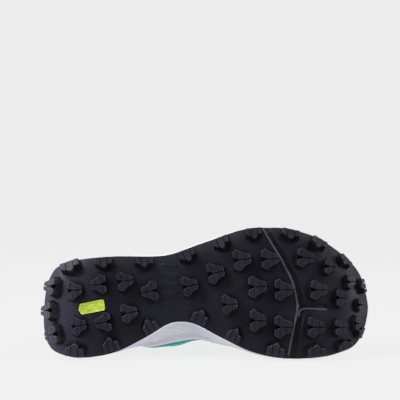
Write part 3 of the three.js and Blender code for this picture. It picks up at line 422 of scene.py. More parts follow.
# The second wing of a claw has its peak a little nearer the stem
CLAW_WINGS = ((wing(-0.26), -1), (wing(-0.19), 1))
WEDGE_CELLS = (
    (((-0.50, -0.50), (-0.20, -0.50), (-0.20, 0.30), (-0.50, 0.06)), (0, 1, 0, 0)),
    (((-0.20, -0.50), (0.22, -0.50), (0.22, 0.22), (0.02, 0.50), (-0.20, 0.31)), (0, 1, 0, 0, 1)),
    (((0.22, -0.50), (0.50, -0.50), (0.50, 0.06), (0.22, 0.12)), (0, 0, 0, 1)),
)
SLIT_WIDE = 0.6
LUG_CHAMFER = 0.45
LUG_WALL = 0.75
LUG_FLARE = 0.6

# The long flex groove across the ball with a bead on its heel side, and its branch towards the toe
BEAD = np.array([
    (0.665, -0.640), (0.681, -0.556), (0.696, -0.494), (0.730, -0.348), (0.757, -0.211), (0.772, -0.074),
    (0.774, -0.006), (0.771, 0.063), (0.757, 0.213), (0.742, 0.400),
])
GROOVE = BEAD + [0.0135, 0.004]
BRANCH = np.array([(0.785, -0.020), (0.825, -0.018), (0.863, -0.014)])
BRANCH_LIP = np.array([
    (0.779, 0.066), (0.781, 0.030), (0.788, 0.014), (0.800, 0.006), (0.825, 0.008), (0.850, 0.012),
    (0.866, 0.014),
])
BEAD_WIDE = 1.7
BEAD_HIGH = 0.9
BRANCH_LIP_WIDE = 1.3
BRANCH_LIP_HIGH = 0.5
RUNGS = ((0.07, 0.27, 0.012), (0.66, 0.95, 0.013))
GROOVE_WIDE = 5.0
GROOVE_DEEP = 1.3
BRANCH_WIDE = 4.0
ARCH_RIBS = 6
RIB_HIGH = 0.55
RIB_HALF = 1.35
FOLD_DEEP = 0.5
FOLD_HALF = 4
BEAD_CLEAR = (0.6, 1.3)
# Painted shade round each lug's foot: its shift towards the sole's middle, where that middle lies, where it
# fades, and how dark at most
SHADE_SHIFT = 2.2
SHADE_MIDDLE = 0.58
SHADE_FADE = (0.42, 0.78)
SHADE_MOST = 0.85

# The insert under the heel
BADGE = {"at": 0.149, "side": -0.004, "turn": -11, "long": 22.6, "wide": 9.6, "deep": 1.3, "proud": 0.35}
BADGE_OUTLINE = np.array([
    (-0.50, 0.05), (-0.42, -0.42), (-0.36, -0.50), (0.44, -0.50), (0.50, -0.42), (0.50, 0.42), (0.44, 0.50),
    (-0.36, 0.50), (-0.42, 0.46),
])
BADGE_GROOVE = 1.1
BADGE_FIELD = 0.35
BADGE_TURN = math.radians(BADGE["turn"])
BADGE_PLACE = np.array([BADGE["at"], BADGE["side"]]) * PLAN_SIZE
BADGE_SIZE = np.array([BADGE["long"], BADGE["wide"]])

# Where the shoe lies: its own axes and origin in the frame, from the tread's mount on one heel lug
mounts = {mount["name"]: mount for mount in frame["record"]["mounts"]}
shoe_up = -unit(np.array(mounts["tread_heel"]["axis"]))
shoe_along = unit(np.array([-shoe_up[2], 0, shoe_up[0]]))
shoe_medial = np.cross(shoe_up, shoe_along)
AXES = np.array([shoe_along, shoe_medial, shoe_up])
claw_x, claw_y = CLAWS[HEEL_CLAW, 0] * SOLE_LENGTH, CLAWS[HEEL_CLAW, 1] * BALL_WIDTH
claw_face = np.array([claw_x, claw_y, tread_at(claw_x, claw_y)]) + tread_normal(claw_x, claw_y) * LUG_HEIGHT
ORIGIN = 1000 * np.array(mounts["tread_heel"]["pos_m"]) - claw_face @ AXES


def lying(points):
    """Shoe millimetres to metres in the frame."""
    return (np.asarray(points) @ AXES + ORIGIN) / 1000


def grid_faces(rows, columns, wrap_rows=False, wrap_columns=False):
    """Faces of a grid of places, and the row and column of each of their corners."""
    i, j = np.meshgrid(np.arange(rows if wrap_rows else rows - 1),
                       np.arange(columns if wrap_columns else columns - 1), indexing="ij")
    i, j = i.ravel(), j.ravel()
    corners = np.stack([np.stack([i, i + 1, i + 1, i], -1), np.stack([j, j, j + 1, j + 1], -1)], -1)
    return (corners[..., 0] % rows) * columns + corners[..., 1] % columns, corners


class Body:
    """Places and faces gathered for one piece, with a material number and a pattern place for each face."""

    def __init__(self):
        self.points = []
        self.faces = []
        self.materials = []
        self.patterns = []
        self.count = 0

    def add(self, points, faces, material=0, pattern=None):
        """Adds faces, each a row of place numbers, and where each corner lies in the pattern."""
        points = np.asarray(points, float).reshape(-1, 3)
        faces = [[int(v) + self.count for v in face] for face in faces]
        self.points.append(points)
        self.faces += faces
        self.materials += [material] * len(faces) if np.isscalar(material) else list(material)
        if pattern is None:
            self.patterns += [[(0.0, 0.0)] * len(face) for face in faces]
        else:
            self.patterns += [[tuple(corner) for corner in face] for face in pattern]
        self.count += len(points)

    def add_ring(self, sections, material=0, pattern=None):
        """A closed wall: sections[turn, place round the section]."""
        rows, columns = sections.shape[:2]
        faces, corners = grid_faces(rows, columns, True, True)
        self.add(sections, faces, material, None if pattern is None else pattern(corners))

    def add_slab(self, sections, material=0, pattern=None):
        """A closed slab: open sections round the shoe, with the first and last place bridged side to side."""
        rows, columns = sections.shape[:2]
        faces, corners = grid_faces(rows, columns, True, False)
        uv = None if pattern is None else pattern(corners)
        self.add(sections, faces, material, uv)
        for column in (0, columns - 1):
            ring = sections[:, column]
            k = np.arange(rows // 2)
            ladder = np.stack([k, k + 1, (rows - k - 1) % rows, (rows - k) % rows], -1)
            ladder = [list(dict.fromkeys(face.tolist())) for face in ladder]
            flat = [[(ring[v, 0] / 1000, ring[v, 1] / 1000) for v in face] for face in ladder]
            self.add(ring, ladder, material if np.isscalar(material) else material[-1], flat)

    def add_sheet(self, top, bottom, material=0, scale=0.001):
        """A closed sheet between two grids of the same size."""
        rows, columns = top.shape[:2]
        faces, corners = grid_faces(rows, columns)
        lower = faces[:, ::-1] + rows * columns
        edge = np.concatenate([np.arange(columns), np.arange(1, rows) * columns + columns - 1,
                               (rows - 1) * columns + np.arange(columns - 2, -1, -1),
                               np.arange(rows - 2, 0, -1) * columns])
        after = np.roll(edge, -1)
        sides = np.stack([edge, edge + rows * columns, after + rows * columns, after], -1)
        along = arc_along(top[:, columns // 2])
        across = arc_along(top[rows // 2])
        uv = np.stack([along[corners[..., 0]] * scale, across[corners[..., 1]] * scale], -1)
        number = np.arange(rows * columns)
        flat = np.stack([along[number // columns], across[number % columns]], -1) * scale
        side_uv = flat[sides % (rows * columns)]
        self.add(np.concatenate([top.reshape(-1, 3), bottom.reshape(-1, 3)]),
                 np.concatenate([faces, lower, sides]).tolist(), material,
                 np.concatenate([uv, uv[:, ::-1], side_uv]))

    def add_sweep(self, path, side, up, profile, material=0, scale=0.001, closed=False):
        """A profile of (side, up) places carried along a path."""
        path, side, up = (np.asarray(a, float) for a in (path, side, up))
        points = path[:, None] + side[:, None] * profile[None, :, :1] + up[:, None] * profile[None, :, 1:]
        rows, columns = len(path), len(profile)
        faces, corners = grid_faces(rows, columns, closed, True)
        arc = arc_along(path)
        if closed:
            arc = np.append(arc, arc[-1] + np.linalg.norm(path[0] - path[-1]))
        round_it = arc_along(np.vstack([profile, profile[:1]]))
        uv = np.stack([arc[corners[..., 0]] * scale, round_it[corners[..., 1]] * scale], -1)
        self.add(points, faces, material, uv)
        if not closed:
            for row in (0, rows - 1):
                self.add(points[row], [list(range(columns))], material)

    def add_copies(self, shape, faces, origins, along, side, up, material=0):
        """One small shape of (along, side, up) places set down at many places."""
        origins, along, side, up = (np.asarray(a, float)[:, None] for a in (origins, along, side, up))
        shape = np.asarray(shape, float)
        points = origins + along * shape[None, :, :1] + side * shape[None, :, 1:2] + up * shape[None, :, 2:]
        shifts = np.arange(len(points)) * len(shape)
        for face_rows in ([f for f in faces if len(f) == size] for size in {len(f) for f in faces}):
            rows = (np.asarray(face_rows)[None] + shifts[:, None, None]).reshape(-1, len(face_rows[0]))
            self.add(np.zeros((0, 3)), rows.tolist(), material)
        self.points.append(points.reshape(-1, 3))
        self.count += points.shape[0] * points.shape[1]

    def make(self, name, materials, replaces=(), flat=False):
        """The finished piece, lying in the frame, with its faces outwards."""
        mesh = bpy.data.meshes.new(name)
        points = lying(np.concatenate(self.points))
        points[:, 2] = np.maximum(points[:, 2], 0)
        mesh.from_pydata(points.tolist(), [], self.faces)
        for material in materials:
            mesh.materials.append(material)
        mesh.polygons.foreach_set("material_index", self.materials)
        layer = mesh.uv_layers.new(name="pattern")
        layer.data.foreach_set("uv", [c for face in self.patterns for corner in face for c in corner])
        mesh.polygons.foreach_set("use_smooth", [not flat] * len(mesh.polygons))
        work = bmesh.new()
        work.from_mesh(mesh)
        bmesh.ops.remove_doubles(work, verts=work.verts, dist=1e-6)
        bmesh.ops.recalc_face_normals(work, faces=work.faces)
        work.to_mesh(mesh)
        work.free()
        piece = bpy.data.objects.new(name, mesh)
        bpy.context.scene.collection.objects.link(piece)
        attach(piece, "root")
        if replaces:
            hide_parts(*replaces)
        return piece


def finish_edges(piece, width, segments=2, angle=30):
    """Rounds a piece's sharp edges by a width in millimetres."""
    bevel = piece.modifiers.new("edges", "BEVEL")
    bevel.width = width / 1000
    bevel.segments = segments
    bevel.limit_method = "ANGLE"
    bevel.angle_limit = math.radians(angle)
    bevel.harden_normals = False


# Materials
class Finish:
    """A material with its shader, and short ways to add nodes to it."""

    def __init__(self, name, colour, roughness, **sockets):
        self.material = bpy.data.materials.new(name)
        self.material.use_nodes = True
        self.tree = self.material.node_tree
        self.shader = self.tree.nodes["Principled BSDF"]
        self.shader.inputs["Base Color"].default_value = (*colour, 1)
        self.shader.inputs["Roughness"].default_value = roughness
        for socket, value in sockets.items():
            self.shader.inputs[socket.replace("_", " ")].default_value = value
        self.place = self.node("ShaderNodeTexCoord")

    def plug(self, value, socket):
        """Joins a node's output to a socket, or sets the socket to a constant value."""
        if isinstance(value, bpy.types.NodeSocket):
            self.tree.links.new(value, socket)
        else:
            socket.default_value = value

    def node(self, kind, inputs=None, **settings):
        """A new node with its settings made and its inputs joined or set."""
        node = self.tree.nodes.new(kind)
        for name, value in settings.items():
            setattr(node, name, value)
        for name, value in (inputs or {}).items():
            self.plug(value, node.inputs[name])
        return node

    def link(self, socket, name):
        """Joins a node's output to an input of the shader."""
        self.tree.links.new(socket, self.shader.inputs[name])

    def noise(self, scale, detail=3.0, rough=0.5, where="Object"):
        """Soft noise over the piece."""
        return self.node("ShaderNodeTexNoise", {"Vector": self.place.outputs[where], "Scale": scale,
                                                "Detail": detail, "Roughness": rough}).outputs["Fac"]

    def sums(self, a, b, how="ADD"):
        """Two values brought together by a sum or another operation."""
        node = self.node("ShaderNodeMath", operation=how)
        for i, value in enumerate((a, b)):
            self.plug(value, node.inputs[i])
        return node.outputs[0]

    def spread(self, value, low, high, start=0.0, end=1.0):
        """A value carried from one range to another, softly."""
        node = self.node("ShaderNodeMapRange", {"Value": value, "From Min": low, "From Max": high,
                                                "To Min": start, "To Max": end})
        node.interpolation_type = "SMOOTHSTEP"
        return node.outputs["Result"]

    def blend(self, factor, first, second):
        """A colour between two, by a factor."""
        ramp = self.node("ShaderNodeMix", data_type="RGBA")
        self.tree.links.new(factor, ramp.inputs["Factor"])
        for slot, value in ((6, first), (7, second)):
            self.plug((*value, 1) if isinstance(value, tuple) else value, ramp.inputs[slot])
        return ramp.outputs[2]

    def pattern(self, scale, turn=0.0):
        """Places in the piece's own pattern, turned and scaled."""
        return self.node("ShaderNodeMapping", {"Vector": self.place.outputs["UV"], "Rotation": (0, 0, turn),
                                               "Scale": (*scale, 1)}).outputs[0]

    def bump(self, height, strength, depth_mm, under=None):
        """Relief from a height, over the relief under it."""
        node = self.node("ShaderNodeBump", {"Strength": strength, "Distance": depth_mm / 1000,
                                            "Height": height})
        if under:
            self.tree.links.new(under, node.inputs["Normal"])
        self.link(node.outputs["Normal"], "Normal")
        return node.outputs["Normal"]


def toned(colour, tone):
    """A colour times a tone, with no channel over 1."""
    return tuple(min(1.0, tone * c) for c in colour)


def rubber_finish(name, light, dark, roughness, heel_start=-0.078, heel_light_gain=3.6, shaded=False):
    """Dark violet rubber: soft clouding, fine moulded grain and a faint bloom.

    It has painted light that makes it lighter towards the heel and the toe and, where shaded, painted shade
    that darkens it by the pattern's first value.
    """
    f = Finish(name, dark, roughness, Specular_IOR_Level=0.2)
    cloud = f.spread(f.noise(38, 4), 0.35, 0.68)
    bloom = f.spread(f.noise(520, 3, 0.65), 0.38, 0.72)
    tone = f.blend(f.sums(f.sums(cloud, 0.62, "MULTIPLY"), f.sums(bloom, 0.38, "MULTIPLY")), dark, light)
    along = f.node("ShaderNodeSeparateXYZ", {"Vector": f.place.outputs["Object"]}).outputs["X"]
    # Painted light: the colour turns lighter towards the heel end, to the light tone times the given gain.
    heel_glow = toned((light[0], light[1], 0.86 * light[2]), heel_light_gain)
    tone = f.blend(f.spread(along, heel_start, heel_start - 0.057), tone, heel_glow)
    # Painted light: a tenth of the way to 2.3 times the light tone towards the toe end.
    tone = f.blend(f.spread(along, 0.11, 0.145, 0.0, 0.10), tone, toned(light, 2.3))
    if shaded:
        # Painted shade: up to 0.85 of the way to near black, by the pattern's first value.
        shade = f.node("ShaderNodeSeparateXYZ", {"Vector": f.place.outputs["UV"]}).outputs["X"]
        tone = f.blend(f.spread(shade, 0.3, 1.0, 0.0, 0.85), tone, (0.0022, 0.0021, 0.0034))
    f.link(tone, "Base Color")
    f.link(f.spread(f.noise(90, 2), 0.3, 0.7, roughness - 0.06, roughness + 0.08), "Roughness")
    coarse = f.bump(f.noise(700, 2, 0.55), 0.7, 0.16)
    f.bump(f.noise(2600, 2, 0.6), 0.4, 0.05, coarse)
    return f.material


def foam_finish(name, tone):
    """Moulded white foam with a faint violet cast, fine skin grain and dull gloss."""
    f = Finish(name, (0.66, 0.655, 0.75), 0.62, Specular_IOR_Level=0.3)
    low, high = toned((0.60, 0.595, 0.70), tone), toned((0.71, 0.705, 0.78), tone)
    f.link(f.blend(f.spread(f.noise(45, 3), 0.3, 0.7), low, high), "Base Color")
    coarse = f.bump(f.noise(900, 2, 0.5), 0.3, 0.12)
    f.bump(f.noise(3200, 2, 0.6), 0.3, 0.05, coarse)
    return f.material


def lime_finish(name, tone):
    """Bright lime rubber with soft clouding and a thin gloss."""
    f = Finish(name, (0.58, 0.70, 0.08), 0.42, Coat_Weight=0.1, Coat_Roughness=0.3)
    low, high = toned((0.50, 0.62, 0.05), tone), toned((0.72, 0.84, 0.15), tone)
    f.link(f.blend(f.spread(f.noise(260, 3), 0.35, 0.7), low, high), "Base Color")
    f.bump(f.noise(1500, 2), 0.35, 0.06)
    return f.material


def weave_finish(name, thread, gap_colour, cells, hole, roughness, depth_mm=0.35):
    """Knitted mesh: cells in rows over the piece's own pattern, dark holes between raised threads."""
    f = Finish(name, thread, roughness, Sheen_Weight=0.25, Sheen_Roughness=0.4, Specular_IOR_Level=0.25)
    where = f.pattern((cells, cells * 0.8))
    dots = f.node("ShaderNodeTexVoronoi", {"Vector": where, "Scale": 1.0, "Randomness": 0.12}, feature="F1")
    solid = f.spread(dots.outputs["Distance"], hole, hole + 0.22)
    threads = f.node("ShaderNodeTexWave", {"Vector": where, "Scale": 1.6, "Distortion": 0.6})
    height = f.sums(solid, f.sums(threads.outputs["Fac"], 0.25, "MULTIPLY"))
    tone = f.blend(f.spread(f.noise(30, 3), 0.3, 0.7), toned(thread, 0.82), thread)
    f.link(f.blend(solid, gap_colour, tone), "Base Color")
    f.bump(height, 0.8, depth_mm)
    return f.material


def film_finish(name, colour, roughness):
    """Thin welded film: satin, with a fine hatch and soft mottling."""
    f = Finish(name, colour, roughness, Coat_Weight=0.12, Coat_Roughness=0.35)
    f.link(f.blend(f.spread(f.noise(60, 3), 0.3, 0.7), toned(colour, 0.8), colour), "Base Color")
    hatch = f.node("ShaderNodeTexWave", {"Vector": f.pattern((900, 900), 0.8), "Scale": 0.5})
    soft = f.bump(hatch.outputs["Fac"], 0.25, 0.08)
    f.bump(f.noise(1800, 2), 0.25, 0.05, soft)
    return f.material


def cord_finish(name, light, dark, scale):
    """Flat woven cord: slanted threads crossing, over the piece's own pattern."""
    f = Finish(name, light, 0.8, Sheen_Weight=0.2, Specular_IOR_Level=0.25)
    heights = [f.node("ShaderNodeTexWave", {"Vector": f.pattern((scale, scale), slant), "Scale": 1.0})
               for slant in (0.7, -0.7)]
    weave = f.sums(heights[0].outputs["Fac"], heights[1].outputs["Fac"], "MAXIMUM")
    f.link(f.blend(f.spread(weave, 0.3, 0.9), dark, light), "Base Color")
    f.bump(weave, 0.7, 0.25)
    return f.material


FLOOR_GLOW = 0.805


def stage_finish():
    """Dull dark floor that glows, so that it looks pale and nearly even."""
    f = Finish("pale_floor", (0.05, 0.05, 0.05), 1.0, Specular_IOR_Level=0.0)
    f.shader.inputs["Emission Color"].default_value = (1, 1, 1, 1)
    f.shader.inputs["Emission Strength"].default_value = FLOOR_GLOW
    return f.material


RUBBER_DARK = (0.0058, 0.0055, 0.0110)
RUBBER_LIGHT = (0.0112, 0.0104, 0.0205)
TEAL = (0.065, 0.64, 0.61)
DEEP_TEAL = (0.018, 0.20, 0.225)
SLATE = (0.045, 0.062, 0.078)

rubber = rubber_finish("rubber", RUBBER_LIGHT, RUBBER_DARK, 0.50, shaded=True)
# Painted light on the lugs towards the heel starts here, along the frame's x in metres.
LUG_HEEL_LIGHT_START = -0.100
# Painted light: the lug faces are a lighter copy of the sheet's rubber.
lug_rubber = rubber_finish("lug_rubber", (0.0158, 0.0147, 0.0262), (0.0100, 0.0093, 0.0170), 0.44,
                           LUG_HEEL_LIGHT_START, 4.8)
# Painted highlight: the lugs' chamfers are a lighter copy of the rubber.
chamfer_highlight_rubber = rubber_finish("chamfer_highlight_rubber", (0.0310, 0.0290, 0.0440), (0.0210, 0.0196, 0.0310), 0.44,
                            LUG_HEEL_LIGHT_START, 2.6)
# Painted shade: the lugs' walls and the ramps between claw wings are a much darker copy of the rubber.
wall_shade_rubber = rubber_finish("wall_shade_rubber", (0.0052, 0.0049, 0.0082), (0.0032, 0.0030, 0.0050), 0.6,
                            LUG_HEEL_LIGHT_START)
# Painted highlight: the bead and the branch's lip are a lighter, glossier copy of the rubber.
bead_highlight_rubber = rubber_finish("bead_highlight_rubber", (0.095, 0.089, 0.122), (0.066, 0.061, 0.088), 0.36)
# Painted shade: the groove round the insert is near black.
pit_shade_rubber = rubber_finish("pit_shade_rubber", (0.0020, 0.0019, 0.0030), (0.0014, 0.0013, 0.0022), 0.8)
foam = foam_finish("foam", 1.05)
# Painted highlight: the foam's low rim next to the rubber is a lighter copy of the foam.
foam_rim_highlight = foam_finish("foam_rim_highlight", 1.38)
lime = lime_finish("lime", 1.15)
lime_field = lime_finish("lime_field", 0.98)
mesh_cloth = weave_finish("mesh_cloth", TEAL, (0.012, 0.12, 0.13), 620, 0.20, 0.8)
lining = weave_finish("lining", SLATE, (0.014, 0.020, 0.026), 900, 0.12, 0.9, 0.2)
padding = weave_finish("padding", (0.07, 0.10, 0.12), (0.02, 0.028, 0.036), 700, 0.16, 0.85, 0.3)
footbed = weave_finish("footbed", (0.10, 0.13, 0.15), (0.012, 0.016, 0.02), 260, 0.10, 0.9, 0.3)
film = film_finish("film", DEEP_TEAL, 0.42)
lace_cord = cord_finish("lace_cord", (0.78, 0.83, 0.85), (0.30, 0.42, 0.44), 1400)
webbing = cord_finish("webbing", (0.03, 0.27, 0.29), (0.010, 0.10, 0.115), 900)
thread = cord_finish("thread", (0.20, 0.62, 0.60), (0.08, 0.34, 0.34), 2600)


# Camera, light and floor
CAMERA_AWAY = 950.0
CAMERA_TILT = math.radians(7)
PIXELS_PER_MM = 1.171
AIM = (134.1, -91.4, 0)
SENSOR = 36.0
PICTURE = 400


def place_camera():
    """Looks at the tread almost square on, its axis through a place over the sole's lateral edge."""
    look = np.array([0, -math.sin(CAMERA_TILT), math.cos(CAMERA_TILT)])
    down = np.array([0, math.cos(CAMERA_TILT), math.sin(CAMERA_TILT)])
    eye = lying(np.array(AIM) - look * CAMERA_AWAY)
    turn = np.stack([np.array([1, 0, 0]) @ AXES, -down @ AXES, -look @ AXES], axis=1)
    data = bpy.data.cameras.new("camera")
    data.sensor_width = SENSOR
    data.lens = SENSOR * PIXELS_PER_MM * CAMERA_AWAY / PICTURE
    data.clip_start = 0.01
    data.clip_end = 50
    camera = bpy.data.objects.new("camera", data)
    camera.matrix_world = Matrix.Translation(Vector(eye)) @ Matrix(turn.tolist()).to_4x4()
    bpy.context.scene.collection.objects.link(camera)
    bpy.context.scene.camera = camera


def place_light(name, place, aim, size, power):
    """A rectangular light at a place, turned to its aim."""
    data = bpy.data.lights.new(name, "AREA")
    data.shape = "RECTANGLE"
    data.size, data.size_y = size
    data.energy = power
    light = bpy.data.objects.new(name, data)
    light.location = place
    light.rotation_euler = (Vector(aim) - Vector(place)).to_track_quat("-Z", "Y").to_euler()
    bpy.context.scene.collection.objects.link(light)


def place_stage():
    """A floor that turns up behind the shoe in a wide quarter circle."""
    back, radius, tall, wide, front = 1.4, 0.8, 3.0, 5.0, -4.0
    bend = np.linspace(0, math.pi / 2, 17)
    y = np.concatenate([[front], back + radius * np.sin(bend), [back + radius]])
    z = np.concatenate([[0], radius * (1 - np.cos(bend)), [tall]])
    points = [(x, b, c) for x in (-wide, wide) for b, c in zip(y, z)]
    n = len(y)
    faces = [(i, n + i, n + i + 1, i + 1) for i in range(n - 1)]
    mesh = bpy.data.meshes.new("pale_floor")
    mesh.from_pydata(points, [], faces)
    mesh.materials.append(stage_finish())
    mesh.polygons.foreach_set("use_smooth", [True] * len(faces))
    floor = bpy.data.objects.new("pale_floor", mesh)
    bpy.context.scene.collection.objects.link(floor)


place_camera()
place_stage()
bpy.context.scene.view_settings.view_transform = "Standard"
world = bpy.data.worlds.new("studio")
world.use_nodes = True
world.node_tree.nodes["Background"].inputs["Color"].default_value = (0.86, 0.87, 0.90, 1)
world.node_tree.nodes["Background"].inputs["Strength"].default_value = 0.07
bpy.context.scene.world = world
LIGHTS = {
    "heel_side": ((-1.45, -0.50, 0.75), 10.5),
    "heel_low": ((-1.50, -0.35, 0.12), 6.5),
    "over_left": ((-0.90, -0.40, 1.40), 22.0),
    "over_right": ((0.90, -0.40, 1.40), 14.5),
    "toe_side": ((1.55, -0.45, 0.45), 14.5),
    "front_left": ((-1.00, -1.30, 0.90), 4.3),
}
LIGHT_AIM = (0, 0, 0.05)
LIGHT_SIZE = (0.8, 0.8)
for name, (place, power) in LIGHTS.items():
    place_light(name, place, LIGHT_AIM, LIGHT_SIZE, power)


# Outsole
TURNS = np.arange(AROUND) / AROUND
TREAD_AROUND = 900
TREAD_COLUMNS = 84
PATH_STEPS = 8


def spine_reach(turn):
    """Distance from the sole's edge to its middle line."""
    edge = rim(turn)
    return np.linalg.norm(spine(edge) - edge, axis=-1)


def groove_depth(x, y):
    """How deep the flex groove and its branch are cut: steep by the bead, sloping away on the toe's side."""
    places = np.stack([x.ravel(), y.ravel()], -1)
    from_bead, from_groove, from_branch = (path_distance(places, open_curve(path * PLAN_SIZE, PATH_STEPS))
                                           for path in (BEAD, GROOVE, BRANCH))
    beside_bead = smooth(*BEAD_CLEAR, from_bead)
    main = beside_bead * (1 - smooth(0.25 * GROOVE_WIDE, 0.75 * GROOVE_WIDE, from_groove))
    branch = (1 - smooth(0.2 * BRANCH_WIDE, 0.6 * BRANCH_WIDE, from_branch)) * beside_bead
    return (GROOVE_DEEP * np.maximum(main, branch)).reshape(x.shape)


def badge_place(x, y):
    """A place on the sole in the insert's own along and across directions."""
    dx, dy = x - BADGE_PLACE[0], y - BADGE_PLACE[1]
    cosine, sine = math.cos(BADGE_TURN), math.sin(BADGE_TURN)
    return dx * cosine + dy * sine, dy * cosine - dx * sine


def beyond_badge(x, y):
    """How far a place lies outside the insert's outline: the greatest distance over any of its edges."""
    long, wide = badge_place(x, y)
    outline = BADGE_OUTLINE * BADGE_SIZE
    ahead = np.roll(outline, -1, axis=0) - outline
    out = unit(np.stack([ahead[:, 1], -ahead[:, 0]], -1))
    return np.max([(long - a[0]) * n[0] + (wide - a[1]) * n[1] for a, n in zip(outline, out)], axis=0)


def wedge_places():
    """Centre, direction along the edge and depth of each edge lug."""
    turn = np.where(WEDGES[:, 1] > 0, WEDGES[:, 0] / 2, 1 - WEDGES[:, 0] / 2)
    edge = rim(turn)
    ahead = rim(turn + 0.4 / SPOKES) - rim(turn - 0.4 / SPOKES)
    ahead *= np.sign(ahead[:, :1])
    inner = unit(np.stack([ahead[:, 1], -ahead[:, 0]], -1)) * np.where(WEDGES[:, 1:2] > 0, 1, -1)
    deep = WEDGES[:, 3] * WEDGE_DEEP
    return edge + inner * (WEDGE_SETBACK + LUG_DRAFT + deep / 2)[:, None], ahead, deep


def tread_shade(x, y):
    """How much painted shade the tread gets: full in the flex groove, and fading out round the foot of each
    lug.
    """
    shade = groove_depth(x, y) / GROOVE_DEEP
    centre, _, deep = wedge_places()
    feet = [(*(row[:2] * PLAN_SIZE), row[2] * LUG_LONG, row[3] * LUG_WIDE) for row in CLAWS]
    feet += [(*place, row[2] * WEDGE_LONG, depth) for place, row, depth in zip(centre, WEDGES, deep)]
    for cx, cy, long, wide in feet:
        toward = SHADE_SHIFT * np.clip((SHADE_MIDDLE * SOLE_LENGTH - cx) / 60, -1, 1)
        far = np.hypot((x - cx - toward) / long, (y - cy - 1.0) / wide)
        shade = np.maximum(shade, SHADE_MOST * (1 - smooth(*SHADE_FADE, far)))
    return shade


# Soft diagonal fold that runs over the midfoot, in shares of the length and the ball width
FOLD = np.array([(0.44, 0.03), (0.50, -0.03), (0.56, -0.10), (0.60, -0.15)])


def tread_sheet():
    """The rubber sheet: tread face from rim to spine, grooves cut, then its edge and its upper face."""
    turns = np.arange(TREAD_AROUND) / TREAD_AROUND
    across = np.linspace(0, 1, TREAD_COLUMNS)
    reach = spine_reach(turns) * 0.985
    edge = rim(turns)
    plan = np.stack([inwards(edge, reach * a) for a in across[::-1]], axis=1)
    x, y = plan[..., 0], plan[..., 1]
    z = tread_at(x, y) + groove_depth(x, y)
    places = plan.reshape(-1, 2)
    fold = path_distance(places, open_curve(FOLD * PLAN_SIZE, 6)).reshape(x.shape)
    z -= FOLD_DEEP * np.exp(-(fold / FOLD_HALF) ** 2) + arch_ribs(places).reshape(x.shape)
    z += BADGE["deep"] * (1 - smooth(0.3, 0.8, beyond_badge(x, y)))
    under = np.stack([x, y, z], -1)
    rise = np.array([0.25, 0.8, RUBBER - 0.8, RUBBER - 0.2])
    bulge = np.array([0.2, 0.4, 0.4, 0.15])
    side = [with_height(inwards(edge, -b), z[:, -1] + r) for b, r in zip(bulge, rise)]
    over = [with_height(inwards(edge, reach * a), tread_at(*inwards(edge, reach * a).T) + RUBBER)
            for a in (0, 0.1, 0.3, 0.6, 1)]
    # Painted shade for each place of the tread face, none on its edge or upper face.
    shade = np.pad(tread_shade(x, y), ((0, 0), (0, len(side) + len(over))))
    return np.concatenate([under, np.stack(side, 1), np.stack(over, 1)], axis=1), shade


def surface_strip(body, path, width, height, material=0):
    """A low rounded bead that follows a path over the tread."""
    line = open_curve(path * PLAN_SIZE, PATH_STEPS)
    line = line[inside_loop(line) & (path_distance(line, LOOP[::5], closed=True) > 0.3)]
    z = tread_at(line[:, 0], line[:, 1])
    points = np.column_stack([line, z])
    up = tread_normal(line[:, 0], line[:, 1])
    along = unit(np.gradient(points, axis=0))
    side = unit(np.cross(up, along))
    angle = np.linspace(0, math.pi, 9)
    profile = np.stack([width / 2 * np.cos(angle), height * np.sin(angle)], -1)
    profile = np.vstack([profile, [(-width / 2, -0.6), (width / 2, -0.6)]])
    body.add_sweep(points, side, up, profile, material)


BOX_FACES = ((0, 3, 2, 1), (4, 5, 6, 7), (0, 1, 5, 4), (1, 2, 6, 5), (2, 3, 7, 6), (3, 0, 4, 7))


def box_shape(long, wide, low, high, taper=0.0):
    """Corners of a low block, drawn in by the taper at its top."""
    base = [(-long / 2, -wide / 2), (long / 2, -wide / 2), (long / 2, wide / 2), (-long / 2, wide / 2)]
    shrink = [(a * (1 - 2 * taper / long), b * (1 - 2 * taper / wide)) for a, b in base]
    return [(*p, low) for p in base] + [(*p, high) for p in shrink]


def groove_rungs(body):
    """Small cross bars on the floor of the flex groove, in its two outer stretches."""
    line = open_curve(GROOVE * PLAN_SIZE, 30)
    arc = arc_along(line)
    places = np.concatenate([np.arange(*stretch) for stretch in RUNGS]) * arc[-1]
    spots = at_arc(places, arc, line)
    ahead = at_arc(places + 1, arc, line)
    z = tread_at(spots[:, 0], spots[:, 1])
    up = tread_normal(spots[:, 0], spots[:, 1])
    along = unit(np.column_stack([ahead - spots, np.zeros(len(spots))]))
    side = np.cross(up, along)
    body.add_copies(box_shape(0.8, 2.8, -GROOVE_DEEP - 0.5, -0.75, 0.2), BOX_FACES,
                    np.column_stack([spots, z]), along, side, up)


def badge_ring(body):
    """The bottom of the groove round the insert, in near-black painted shade."""
    cosine, sine = math.cos(BADGE_TURN), math.sin(BADGE_TURN)
    turned = np.array([(cosine, sine), (-sine, cosine)])
    loop = BADGE_OUTLINE * (BADGE_SIZE + BADGE_GROOVE) @ turned + BADGE_PLACE
    outward = unit(loop - BADGE_PLACE)
    points = with_height(loop, tread_at(*loop.T))
    half = BADGE_GROOVE / 2
    profile = np.array([(-BADGE_GROOVE, -0.3), (-BADGE_GROOVE, 0.02), (half, 0.02), (half, -0.3)])
    up = np.tile((0.0, 0.0, -1.0), (len(loop), 1))
    body.add_sweep(points, np.column_stack([outward, np.zeros(len(loop))]), up, profile, 2, closed=True)


def arch_ribs(places):
    """Height of the plain slanted ribs across the narrow of the sole."""
    height = np.zeros(len(places))
    for side in np.linspace(-0.32, 0.03, ARCH_RIBS):
        path = np.array([(0.366, side - 0.006), (0.406, side + 0.006)]) * PLAN_SIZE
        height = np.maximum(height, RIB_HIGH * np.exp(-(path_distance(places, path) / RIB_HALF) ** 4))
    return height


